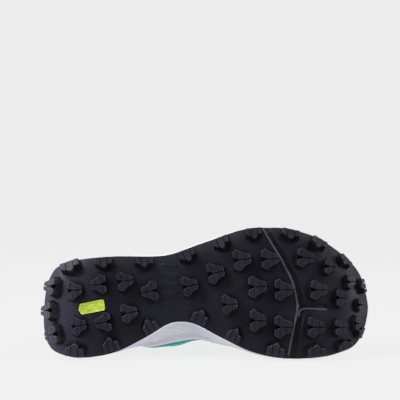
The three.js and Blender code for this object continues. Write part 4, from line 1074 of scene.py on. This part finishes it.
def offset_outline(outline, amounts):
    """An outline with each of its edges moved inwards by its own amount."""
    ahead = np.roll(outline, -1, axis=0) - outline
    area = np.sum(outline[:, 0] * np.roll(outline[:, 1], -1) - outline[:, 1] * np.roll(outline[:, 0], -1))
    inner = unit(np.stack([-ahead[:, 1], ahead[:, 0]], -1)) * np.sign(area)
    starts = outline + inner * np.asarray(amounts, float)[:, None]
    result = []
    for i in range(len(outline)):
        a, u = starts[i - 1], ahead[i - 1]
        b, w = starts[i], ahead[i]
        t = ((b[0] - a[0]) * w[1] - (b[1] - a[1]) * w[0]) / (u[0] * w[1] - u[1] * w[0])
        result.append(a + u * t)
    return np.array(result)


def add_stack(body, rings):
    """A closed block through outlines of the same count, one above the other.

    Its walls have material 1, its chamfer 2 and its foot and face 0.
    """
    n = len(rings[0])
    faces, _ = grid_faces(len(rings), n, False, True)
    last = n * (len(rings) - 1)
    kinds = [1] * (last - n) + [2] * n + [0] * 2
    body.add(np.concatenate(rings), faces.tolist() + [list(range(n)), list(range(last, last + n))], kinds)


def lug_frames(x, y, angle):
    """Foot of each lug on the tread, and its along, across and outward directions."""
    up = tread_normal(x, y)
    along = np.stack([np.cos(angle), np.sin(angle), np.zeros_like(angle)], -1)
    along = unit(along - up * np.sum(along * up, axis=-1, keepdims=True))
    return np.column_stack([x, y, tread_at(x, y)]), along, -np.cross(up, along), up


def add_lug(body, spot, cells, long, wide, height, sign):
    """Cells of one lug: foot with a flare, drafted wall, chamfer and face, with slits between them.

    Each ring of a cell has how far it stands out, how high it lies and the slits' share of their width.
    """
    base, along, across, up = spot
    for cell, slits in cells:
        real = np.asarray(cell) * [long, wide * sign]
        slits = np.asarray(slits)
        rings = []
        for grow, lift, slit in ((LUG_WALL + LUG_FLARE, -LUG_SUNK, 0.2), (LUG_WALL + 0.35, 0.4, 0.4),
                                 (LUG_WALL * 0.9, 1.4, 0.8), (0.1, height - LUG_CHAMFER, 1.0),
                                 (-LUG_CHAMFER * 0.8, height, 1.0)):
            flat = offset_outline(real, np.where(slits > 0, SLIT_WIDE / 2 * slit * slits, -grow))
            rings.append(base + along * flat[:, :1] + across * flat[:, 1:] + up * lift)
        add_stack(body, rings)


def lug_height_at(x):
    """Height of a lug: full, with a soft step down to its share at the toe."""
    return LUG_HEIGHT * mix(1, TOE_LUG_SHARE, smooth(0.82 * SOLE_LENGTH, 0.95 * SOLE_LENGTH, x))


# The ramp between a claw's wings: its corners in shares of the lug, and the share of the lug's height there
CLAW_NOTCH = np.array([(-0.49, 0.16), (-0.05, 0.0), (-0.49, -0.16)])
NOTCH_LIFTS = np.array([0.60, 0.22, 0.60])
RAMP_FACES = ((0, 1, 2), (5, 4, 3), (0, 3, 4, 1), (1, 4, 5, 2), (2, 5, 3, 0))


def claw_lugs(body):
    """Claws: two wings each, with a ramp between them that falls towards the stem."""
    x, y = CLAWS[:, 0] * SOLE_LENGTH, CLAWS[:, 1] * BALL_WIDTH
    spots = lug_frames(x, y, np.radians(CLAWS[:, 4]))
    heights = lug_height_at(x)
    for i, row in enumerate(CLAWS):
        long, wide, height = row[2] * LUG_LONG, row[3] * LUG_WIDE, heights[i]
        spot = [part[i] for part in spots]
        for cells, sign in CLAW_WINGS:
            add_lug(body, spot, cells, long, wide, height, sign)
        base, along, across, up = spot
        notch = CLAW_NOTCH * [long, wide]
        lifts = NOTCH_LIFTS * height
        top = base + along * notch[:, :1] + across * notch[:, 1:] + up * lifts[:, None]
        root = base + along * (notch[:, :1] - LUG_DRAFT * 0.8) + across * notch[:, 1:] - up * LUG_SUNK
        # The ramp takes the walls' painted shade.
        body.add(np.concatenate([top, root]), RAMP_FACES, 1)


def edge_lugs(body):
    """Lugs along the sole's edge, each in line with it."""
    centre, ahead, deep = wedge_places()
    spots = lug_frames(centre[:, 0], centre[:, 1], np.arctan2(ahead[:, 1], ahead[:, 0]))
    heights = lug_height_at(centre[:, 0])
    for i, row in enumerate(WEDGES):
        spot = [part[i] for part in spots]
        add_lug(body, spot, WEDGE_CELLS, row[2] * WEDGE_LONG, deep[i], heights[i], -1 if row[1] else 1)


sheet = Body()
tread, tread_painted_shade = tread_sheet()


def painted_shade_pattern(corners):
    """Each corner's painted shade as its first pattern value."""
    dark = tread_painted_shade[corners[..., 0] % TREAD_AROUND, corners[..., 1]]
    return np.stack([dark, np.zeros(dark.shape)], -1)


sheet.add_slab(tread, 0, painted_shade_pattern)
# The bead and the branch's lip take the painted highlight.
surface_strip(sheet, BEAD, BEAD_WIDE, BEAD_HIGH, 1)
surface_strip(sheet, BRANCH_LIP, BRANCH_LIP_WIDE, BRANCH_LIP_HIGH, 1)
groove_rungs(sheet)
badge_ring(sheet)
sheet.make("rubber_outsole", [rubber, bead_highlight_rubber, pit_shade_rubber], ["outsole"])
lugs = Body()
claw_lugs(lugs)
edge_lugs(lugs)
# Lug faces in the lighter lug rubber, walls and ramps in painted shade, chamfers in painted highlight.
lugs.make("tread_lugs", [lug_rubber, wall_shade_rubber, chamfer_highlight_rubber], flat=True)


def heel_insert():
    """Lime insert with a raised border and plain slanted bars."""
    body = Body()
    along = np.array([math.cos(BADGE_TURN), math.sin(BADGE_TURN), 0])
    across = np.array([-math.sin(BADGE_TURN), math.cos(BADGE_TURN), 0])
    out = np.array([0, 0, -1.0])
    base = np.array([*BADGE_PLACE, float(tread_at(*BADGE_PLACE))])

    def ring(shrink, lift):
        """The insert's outline, drawn in and lifted."""
        flat = BADGE_OUTLINE * (BADGE_SIZE - 2 * shrink)
        return base + along * flat[:, :1] + across * flat[:, 1:] + out * lift

    proud = BADGE["proud"]
    field = proud - BADGE_FIELD
    levels = [(0.0, GAP - BADGE["deep"]), (0.0, proud - 0.25), (0.25, proud), (0.95, proud), (1.15, field)]
    rings = np.stack([ring(*level) for level in levels])
    n = len(BADGE_OUTLINE)
    faces, _ = grid_faces(len(levels), n, False, True)
    caps = [list(range(n)), list(range(n * (len(levels) - 1), n * len(levels)))]
    body.add(rings, faces.tolist() + caps, [0] * (len(faces) + 1) + [1])
    bars = np.linspace(-0.30, 0.38, 8) * BADGE["long"]
    slant = unit(across + 0.35 * along)
    origins = base + along * bars[:, None] + out * field
    count = len(bars)
    body.add_copies(box_shape(1.3, BADGE["wide"] * 0.58, -0.3, BADGE_FIELD, 0.15), BOX_FACES, origins,
                    np.tile(along, (count, 1)), np.tile(slant, (count, 1)), np.tile(out, (count, 1)))
    finish_edges(body.make("lime_insert", [lime, lime_field], ["sole_badge"], flat=True), 0.12)


heel_insert()


# Midsole
def arch_waist(turn):
    """How much a turn is in the medial arch, where the foam's lip thins and the cloth stands out over it."""
    s = share(turn)
    return np.where(on_medial(turn), smooth(0.27, 0.34, s) * (1 - smooth(0.47, 0.56, s)), 0.0)


SIDE_STEPS = np.array([(0.0, 0.0), (0.16, 1.3), (0.50, 1.5), (0.80, 1.0), (1.0, 0.3)])
FOAM_AROUND = 800
CHEVRON_PITCH = 12.0
CHEVRON_REACH = 5.4
CHEVRON_MIDDLE = 0.55
CHEVRON_DEEP = 1.0
FOAM_RIM = 0.8
BED_INSET = 16.0
SEAT_INSETS = (22, 14, 8, 4, 2)
RIM_HIGHLIGHT_COLUMNS = range(4, 10)
WAIST_LIP = 0.25
WAIST_WALL = 0.6
WAIST_SWELL = 0.7


def side_swell(t):
    """How far the side stands out from the straight line between the rubber and the lip."""
    table = np.linspace(0, 1, 201)
    values = np.interp(table, SIDE_STEPS[:, 0], SIDE_STEPS[:, 1])
    window = np.hanning(17)
    padded = np.pad(values, 8, mode="edge")
    return np.interp(t, table, np.convolve(padded, window / window.sum(), mode="valid"))


def midsole():
    """Foam: seat on the rubber, side with chevrons, lip, inner side and bed."""
    turn = np.arange(FOAM_AROUND) / FOAM_AROUND
    edge = rim(turn)

    def seat(inset):
        """The foam's face over the rubber, at an inset from the edge."""
        plan = inwards(edge, inset)
        return with_height(plan, tread_at(*plan.T) + RUBBER + GAP)

    start = seat(FOOT_INSET)
    waist = arch_waist(turn)
    lip = lip_share(turn) * (1 - WAIST_LIP * waist)
    wall = LIP_WALL * (1 - WAIST_WALL * waist)
    lip_out = off_skin(turn, lip, GAP + wall)
    arc = rim_arc(turn)
    side = []
    for t in np.linspace(0, 1, 64):
        p = mix(start, lip_out, t)
        chevron = np.mod(arc / CHEVRON_PITCH + CHEVRON_REACH * abs(t - CHEVRON_MIDDLE), 1) - 0.5
        ridge = np.exp(-((chevron - 0.08) / 0.14) ** 2) - 1.1 * np.exp(-((chevron + 0.16) / 0.10) ** 2)
        fade = smooth(0.10, 0.20, t) * (1 - smooth(0.80, 0.92, t))
        low_rim = FOAM_RIM * math.exp(-((t - 0.05) / 0.035) ** 2)
        swell = side_swell(t) * (1 - WAIST_SWELL * waist) + CHEVRON_DEEP * ridge * fade + low_rim
        side.append(with_height(inwards(p[:, :2], -swell), p[:, 2]))
    rise = np.array([0, 0, 1.0]) * wall[:, None]
    lip_top = off_skin(turn, lip, GAP + wall / 2) + rise / 3
    shoulder = off_skin(turn, lip, GAP + wall * 0.9) + rise / 5
    inner = [off_skin(turn, lip * a, GAP) for a in (1, 0.6, 0.25)]
    corner = off_skin(turn, 0, GAP)[:, :2]
    bed = [with_height(p, bed_at(p[:, 0])) for p in
           (corner, inwards(corner, MARGIN_WIDTH), inwards(corner, BED_INSET))]
    body = Body()
    sections = np.stack([*(seat(d) for d in SEAT_INSETS), *side, shoulder, lip_top, *inner, *bed], axis=1)
    body.add_slab(sections)
    strips = sections.shape[1] - 1
    # The low rim's strips take the foam's painted highlight.
    body.materials = [int(k < FOAM_AROUND * strips and k % strips in RIM_HIGHLIGHT_COLUMNS)
                      for k in range(len(body.materials))]
    body.make("foam_midsole", [foam, foam_rim_highlight], ["midsole"])


midsole()


# Upper
# Soft troughs in the cloth: place from heel to toe, half width and depth
CREASES = (
    (0.60, 0.018, 0.55), (0.665, 0.016, 0.7), (0.73, 0.018, 0.55), (0.35, 0.03, 0.5), (0.30, 0.02, 0.35),
)
ARCH_FULLNESS = 3.0
ARCH_CREST = 2.3
COLLAR_SEAM = 0.69
COLLAR_SEAM_END = 0.185


def cloth_relief(turn, v):
    """Soft troughs across the forefoot and under the ankle, and the collar's padding between two seams."""
    s = share(turn)
    relief = np.zeros(np.broadcast(turn, v).shape)
    for place, width, depth in CREASES:
        middle = place + 0.05 * (v - 0.6)
        relief = relief - depth * np.exp(-((s - middle) / width) ** 2) * smooth(0.30, 0.55, v) * (
            1 - 0.4 * smooth(0.8, 1.0, v))
    collar = 1 - smooth(0.30, 0.40, s)
    fullness = ARCH_FULLNESS * smooth(0.25, 0.39, s) + ARCH_CREST * np.exp(-((s - 0.43) / 0.035) ** 2)
    fullness = arch_waist(turn) * fullness
    relief = relief + fullness * smooth(0.10, 0.17, v) * (1 - smooth(0.25, 0.5, v))
    roll = np.sin(np.pi * np.clip((v - 0.70) / 0.30, 0, 1))
    relief = relief + collar * (0.9 * roll - 0.5 * np.exp(-((v - COLLAR_SEAM) / 0.018) ** 2))
    return relief


def upper():
    """Hollow upper: margin, outer face, rounded crest, inner face and back to the margin."""
    turn = TURNS[:, None]
    up = np.linspace(0, 1, 44)[None] ** 0.95
    outer = off_skin(turn, up, cloth_relief(turn, up))
    down = np.linspace(1, 0.05, 30)[None]
    inner = off_skin(turn, down, -wall_at(turn, down) + 0.35 * cloth_relief(turn, down))
    rise = unit(outer[:, -1] - outer[:, -3])
    wall = wall_at(TURNS, np.ones(AROUND))
    crest = []
    for angle in np.linspace(0, math.pi, 9)[1:-1]:
        level = mix(outer[:, -1], inner[:, 0], (1 - math.cos(angle)) / 2)
        crest.append(level + rise * (wall * CREST_SHARE * math.sin(angle))[:, None])
    foot = outer[:, 0]
    corner = with_height(inwards(foot[:, :2], MESH_WALL), bed_at(foot[:, 0]) + GAP + MESH_WALL)
    end = inwards(foot[:, :2], MARGIN_WIDTH)
    end_low = with_height(end, bed_at(end[:, 0]) + GAP)
    end_high = end_low + [0, 0, MESH_WALL]
    sections = np.concatenate([end_low[:, None], outer, np.stack(crest, 1), inner, corner[:, None],
                               end_high[:, None]], axis=1)
    columns = sections.shape[1]
    arc = np.append(rim_arc(TURNS), LOOP_ARC[-1])
    length = np.linalg.norm(np.diff(sections, axis=1), axis=-1).mean(axis=0)
    height = np.concatenate([[0], np.cumsum(length), [0]])
    body = Body()
    outer_columns = 1 + outer.shape[1] + 2
    body.add_ring(sections, ([0] * outer_columns + [1] * (columns - outer_columns)) * AROUND,
                  lambda c: np.stack([arc[c[..., 0]] / 1000, height[c[..., 1]] / 1000], -1))
    body.make("knit_upper", [mesh_cloth, lining], ["upper"])


upper()


def bordered(count, edge=0.02):
    """Places from 0 to 1 with two close ones at each end, for a tight rounded border."""
    between = np.linspace(edge, 1 - edge, count)[1:-1]
    return np.concatenate([[0, edge / 3, edge], between, [1 - edge, 1 - edge / 3, 1]])


def overlay(name, first, last, low, high, rows, columns):
    """A film on the upper between two turns, its foot and head given as shares of the side for each turn."""
    a = bordered(rows, 0.012)
    b = bordered(columns, 0.05)
    turn = mix(first, last, a)[:, None]
    v = mix(low(turn), high(turn), b[None])
    round_off = lambda t: np.clip(np.minimum(t, 1 - t) / t[2], 0, 1) ** 0.5
    swell = np.minimum(round_off(a)[:, None], round_off(b)[None])
    base = np.maximum(cloth_relief(turn, v), 0) * 0.3
    top = off_skin(turn, v, base + OVERLAY_GAP - 0.25 + (OVERLAY_THICK + 0.15) * swell)
    bottom = off_skin(turn, v, np.full(swell.shape, 0.12))
    body = Body()
    body.add_sheet(top, bottom)
    return body.make(name + "_film", [film], [name])


def above_lip(turn):
    """Foot of a film, a step above the foam's lip."""
    return lip_share(turn) * (1 + OVERLAY_STEP / FOOT_LIP)


CAP_SPAN = round(SPOKES / 2 * 0.30) / SPOKES
COUNTER_SPAN = round(SPOKES / 2 * 0.24) / SPOKES
STAY_START = round(SPOKES / 2 * 0.38) / SPOKES


def taper(turn, middle, span):
    """Falls from 1 at the middle to 0 at the ends of a span, by the square of the share."""
    return 1 - np.clip(np.abs(turn - middle) / span, 0, 1) ** 2


def stay_depth(turn):
    """Share of the side under the eyelet stay: deep at the back, shallow in front."""
    return mix(STAY_BACK, STAY_FRONT, smooth(0.4, 0.8, share(turn)))


overlay("toe_cap", 0.5 - CAP_SPAN, 0.5 + CAP_SPAN, above_lip,
        lambda t: above_lip(t) + 0.05 + CAP_TALL * taper(t, 0.5, CAP_SPAN), 90, 22)
overlay("heel_counter", -COUNTER_SPAN, COUNTER_SPAN, above_lip,
        lambda t: above_lip(t) + 0.10 + COUNTER_TALL * taper(t, 0, COUNTER_SPAN), 80, 26)
overlay("eyestay", STAY_START, 1 - STAY_START, lambda t: 1 - stay_depth(t), lambda t: 1 + 0 * t, 200, 14)


# Height fields over and under the throat, for the tongue and the lace
BRIDGE_CROWN = 3.0


def throat_field(distance, crown_rise):
    """A closed form over the throat: the upper's face at a distance, bridged from edge to edge."""
    start = STAY_START - 3 / SPOKES
    turn = np.linspace(start, 1 - start, 121)
    v = np.linspace(0.4, 1, 14)
    face = off_skin(turn[:, None], v[None], distance(turn[:, None], v[None]))
    rows, columns = face.shape[:2]
    faces, _ = grid_faces(rows, columns)
    top = face[:, -1]
    ridge = (top + top[::-1]) / 2 + [0, 0, crown_rise]
    points = np.concatenate([face.reshape(-1, 3), ridge])
    number = np.arange(rows - 1)
    edge = number * columns + columns - 1
    ladder = np.stack([edge, edge + columns, rows * columns + number + 1, rows * columns + number], -1)
    return BVHTree.FromPolygons(points.tolist(), faces.tolist() + ladder.tolist())


def height_over(field, x, y):
    """Height of a field at a plan place, or 0 where it has none."""
    hit = field.ray_cast(Vector((x, y, 200)), Vector((0, 0, -1)))
    return hit[0].z if hit[0] else 0.0


def clear_of(field, x, y, distance):
    """Height that keeps a distance from a field, its slope allowed for."""
    z = height_over(field, x, y)
    slope_x = (height_over(field, x + 1, y) - height_over(field, x - 1, y)) / 2
    slope_y = (height_over(field, x, y + 1) - height_over(field, x, y - 1)) / 2
    return z + distance * math.sqrt(1 + slope_x**2 + slope_y**2)


inner_field = throat_field(lambda t, v: -wall_at(t, v), 0)
outer_field = throat_field(lambda t, v: OVERLAY_GAP + OVERLAY_THICK + 0 * v, BRIDGE_CROWN)

# The tongue under the throat: share of the way back, and width. Its top: how far behind, rise, and width
TONGUE_ROWS = (
    (0.00, 0.16), (0.10, 0.25), (0.25, 0.35), (0.45, 0.41), (0.70, 0.44), (0.88, 0.44), (1.00, 0.41),
)
TONGUE_TOP = ((0.045, 0.10, 0.35), (0.085, 0.24, 0.345), (0.112, 0.36, 0.33), (0.120, 0.41, 0.27))
TONGUE_COLUMNS = np.array([-0.5, -0.42, -0.28, -0.14, 0, 0.14, 0.28, 0.42, 0.5])
TONGUE_TUCK = 9.0
THROAT_SHARE = 0.43


def tongue():
    """Padded tongue under the throat's edges, standing up at its top, thin at its long edges."""
    front = LAST[-1, 3] * SOLE_LENGTH + TONGUE_TUCK
    back = float(last_column("edge", np.array([THROAT_SHARE]))[0]) * SOLE_LENGTH
    thick = TONGUE_THICK * np.where(np.abs(TONGUE_COLUMNS) > 0.45, 0.55, 1)

    def inner(over, width, slope):
        """The tongue's underside: its thickness square to the curve of its face."""
        lean = TONGUE_COLUMNS * width * BALL_WIDTH / (0.55 * BALL_WIDTH)
        way = unit(np.stack([np.full(len(lean), -slope), -lean, -np.ones(len(lean))], -1))
        return over + way * thick[:, None]

    high, low = [], []
    for t, width in TONGUE_ROWS:
        x = mix(front, back, t)
        y = float(centre_line(x)) + TONGUE_COLUMNS * width * BALL_WIDTH
        over = np.array([(x, b, clear_of(inner_field, x, b, -SOFT_GAP)) for b in y])
        high.append(over)
        low.append(inner(over, width, 0.45))
    end = high[-1]
    middle = end[len(TONGUE_COLUMNS) // 2, 2]
    sag = middle - end[:, 2]
    for behind, rise, width in TONGUE_TOP:
        x = back - behind * SOLE_LENGTH
        y = float(centre_line(x)) + TONGUE_COLUMNS * width * BALL_WIDTH
        over = np.stack([x - sag * 0.35, y, middle + rise * COLLAR_HEIGHT - sag * 0.75], -1)
        high.append(over)
        low.append(inner(over, width, 0.55))
    body = Body()
    body.add_sheet(np.array(high), np.array(low))
    piece = body.make("padded_tongue", [padding], ["tongue"])
    soften = piece.modifiers.new("soften", "SUBSURF")
    soften.levels = 3
    soften.render_levels = 3


tongue()


def insole():
    """Flat insole with a rounded brow, on the upper's margin."""
    foot = skin(TURNS, np.zeros(AROUND))[:, :2]
    edge = inwards(foot, MESH_WALL + INSOLE_EASE)

    def lift(inset, up):
        """A place at an inset from the insole's edge, at a height over the upper's margin."""
        plan = inwards(edge, inset)
        return with_height(plan, bed_at(plan[:, 0]) + 2 * GAP + MESH_WALL + up)

    brow = [lift(INSOLE_BEVEL * a, INSOLE_THICK * b)
            for a, b in ((0.0, 0.0), (0.12, 0.45), (0.35, 0.78), (0.65, 0.95), (1.0, 1.0))]
    inside = [lift(inset, INSOLE_THICK) for inset in (5, 7, 10, 14)]
    sections = np.stack([lift(MARGIN_WIDTH, 0), *brow, *inside], axis=1)
    body = Body()
    body.add_slab(sections, 0, lambda c: sections[c[..., 0] % AROUND, c[..., 1], :2] / 1000)
    body.make("padded_insole", [footbed], ["insole"])


insole()


# Eyelets and lace
FIRST_EYELET = STAY_START + 1.4 / SPOKES
LAST_EYELET = 0.36


def eyelet_turn(i):
    """Turn of an eyelet, in even steps from the ankle to the toes."""
    return mix(FIRST_EYELET, LAST_EYELET, i / (EYELET_ROWS - 1))


def eyelet_spot(i, medial):
    """Place and outward direction of an eyelet on one side."""
    turn = eyelet_turn(i) if medial else 1 - eyelet_turn(i)
    v = 1 - 0.45 * float(stay_depth(turn))
    turn, v = np.array([turn]), np.array([v])
    return skin(turn, v)[0], skin_normal(turn, v)[0]


def flat_oval(wide, thick, count=14):
    """Outline of a flat cord: an oval with squared ends."""
    angle = np.arange(count) / count * 2 * math.pi
    c, s = np.cos(angle), np.sin(angle)
    return np.stack([np.sign(c) * np.abs(c) ** 0.6 * wide / 2, s * thick / 2], -1)


def eyelets():
    """Rolled rims round the lace holes, with a dark cup under each."""
    body = Body()
    sides = 20
    around = np.arange(sides) / sides * 2 * math.pi
    lower = list(range(2 * sides - 1, sides - 1, -1))
    walls = [[k, (k + 1) % sides, sides + (k + 1) % sides, sides + k] for k in range(sides)]
    profile = flat_oval(1.0, 0.9, 8)
    for i in range(EYELET_ROWS):
        for medial in (True, False):
            p, n = eyelet_spot(i, medial)
            a = unit(np.cross(n, [0, 0.3, 1.0]))
            b = np.cross(n, a)
            radial = a * np.cos(around)[:, None] + b * np.sin(around)[:, None]
            centre = p + n * (OVERLAY_GAP + OVERLAY_THICK - 0.1)
            path = centre + radial * (EYELET_BORE / 2 + 0.5)
            body.add_sweep(path, radial, np.tile(n, (sides, 1)), profile, 0, closed=True)
            disc = centre - n * 0.05 + radial * (EYELET_BORE / 2 + 0.3)
            cup = centre - n * 0.9 + radial * (EYELET_BORE / 2 + 0.3)
            body.add(np.concatenate([disc, cup]), [list(range(sides)), lower] + walls, 1)
    body.make("eyelet_rims", [film, lining])


LACE_DIVE = 2.4
LACE_LIFT = 0.3
LACE_CLEAR = 0.95


def strand_path(a, b, lift, na, nb):
    """From eyelet to eyelet over the tongue: out of one hole, across on top, and down the other."""
    t = np.linspace(0, 1, 33)
    line = mix(a[None], b[None], t[:, None])
    height = np.array([clear_of(outer_field, p[0], p[1], LACE_CLEAR) for p in line])
    window = np.hanning(9) / np.hanning(9).sum()
    height = np.convolve(np.pad(height, 4, mode="edge"), window, mode="valid")
    line[:, 2] = height + lift * np.sin(math.pi * t) ** 2
    into_a, into_b = ((1 - smooth(0, 0.10, way))[:, None] for way in (t, 1 - t))
    dive = into_a * na * LACE_DIVE + into_b * nb * LACE_DIVE
    return line - dive


def lace():
    """A straight strand at the front row, and two that cross between each row and the next."""
    body = Body()
    front = EYELET_ROWS - 1
    rows = [(front, front, True, 0.0)]
    for i in range(front, 0, -1):
        rows += [(i, i - 1, True, LACE_LIFT), (i, i - 1, False, LACE_LIFT + LACE_THICK * 0.9)]
    for first, second, from_medial, lift in rows:
        a, na = eyelet_spot(first, from_medial)
        b, nb = eyelet_spot(second, not from_medial)
        path = strand_path(a, b, lift, na, nb)
        along = unit(np.gradient(path, axis=0))
        blend = np.linspace(0, 1, len(path))[:, None]
        normal = mix(na, nb, blend) + [0, 0, 0.6]
        side = unit(np.cross(normal, along))
        up = np.cross(along, side)
        narrow = mix(0.62, 1.0, np.minimum(smooth(0, 0.14, blend), smooth(0, 0.14, 1 - blend)))
        body.add_sweep(path, side * narrow, up, flat_oval(LACE_WIDE, LACE_THICK))
    body.make("flat_lace", [lace_cord], ["lace"])


eyelets()
lace()

# The pull loop's path from its seat: back and up, in shares of its rise
LOOP_ROWS = ((0.29, -0.08), (0.37, 0.40), (0.27, 0.80), (-0.08, 1.00), (-0.32, 0.72))


def heel_loop():
    """Woven strap up the heel, over and down onto the padding."""
    zero = np.array([0.0])
    lip = float(lip_share(zero)[0])
    top = skin(zero, np.array([1.0]))[0]
    seat = off_skin(zero, np.array([mix(lip, 1, 0.8)]), GAP + SOFT_GAP)[0]
    crest = np.array([top[0] + COLLAR_PAD / 2, top[1], top[2] + COLLAR_PAD * CREST_SHARE + 4 * GAP])
    rows = [seat] + [np.array([top[0] - b * LOOP_RISE, top[1], top[2] + u * LOOP_RISE]) for b, u in LOOP_ROWS]
    path = open_curve(np.array(rows + [crest]), 8)
    path[:, 1] = top[1]
    along = unit(np.gradient(path, axis=0))
    side = np.tile([0.0, 1.0, 0.0], (len(path), 1))
    up = np.stack([-along[:, 2], np.zeros(len(path)), along[:, 0]], -1)
    body = Body()
    profile = flat_oval(LOOP_WIDE, LOOP_THICK, 18)
    body.add_sweep(path + up * LOOP_THICK / 2, side, up, profile)
    body.make("webbing_loop", [webbing], ["heel_loop"])


heel_loop()


# Stitches
def stitch_row(body, turn, v, lift, pitch=2.6, long=1.9, wide=0.42):
    """Short raised threads along a line on the upper."""
    line = off_skin(turn, v, lift)
    normal = skin_normal(turn, v)
    arc = arc_along(line)
    places = np.arange(pitch / 2, arc[-1], pitch)
    at = at_arc(places, arc, line)
    up = unit(at_arc(places, arc, normal))
    along = unit(at_arc(places + 0.4, arc, line) - at_arc(places - 0.4, arc, line))
    side = np.cross(up, along)
    shape = [(-long / 2, 0, -0.15)]
    for place in (-long / 4, long / 4):
        for k in range(6):
            angle = k * math.pi / 3
            shape.append((place, math.cos(angle) * wide / 2, math.sin(angle) * wide / 2))
    shape.append((long / 2, 0, -0.15))
    faces = [(0, 1 + (k + 1) % 6, 1 + k) for k in range(6)]
    faces += [(1 + k, 1 + (k + 1) % 6, 7 + (k + 1) % 6, 7 + k) for k in range(6)]
    faces += [(13, 7 + k, 7 + (k + 1) % 6) for k in range(6)]
    body.add_copies(shape, faces, at, along, side, up)


def stitches():
    """Seams under the collar and along both edges of the eyelet stay."""
    body = Body()
    back = np.linspace(-COLLAR_SEAM_END, COLLAR_SEAM_END, 400)
    seam = np.full(len(back), COLLAR_SEAM)
    stitch_row(body, back, seam, cloth_relief(back, seam) + 0.12)
    stay = np.linspace(STAY_START + 0.006, 1 - STAY_START - 0.006, 700)
    on_film = np.full(len(stay), OVERLAY_GAP + OVERLAY_THICK - 0.05)
    for inset in (0.14, 0.86):
        stitch_row(body, stay, 1 - stay_depth(stay) * inset, on_film)
    body.make("stitches", [thread])


stitches()
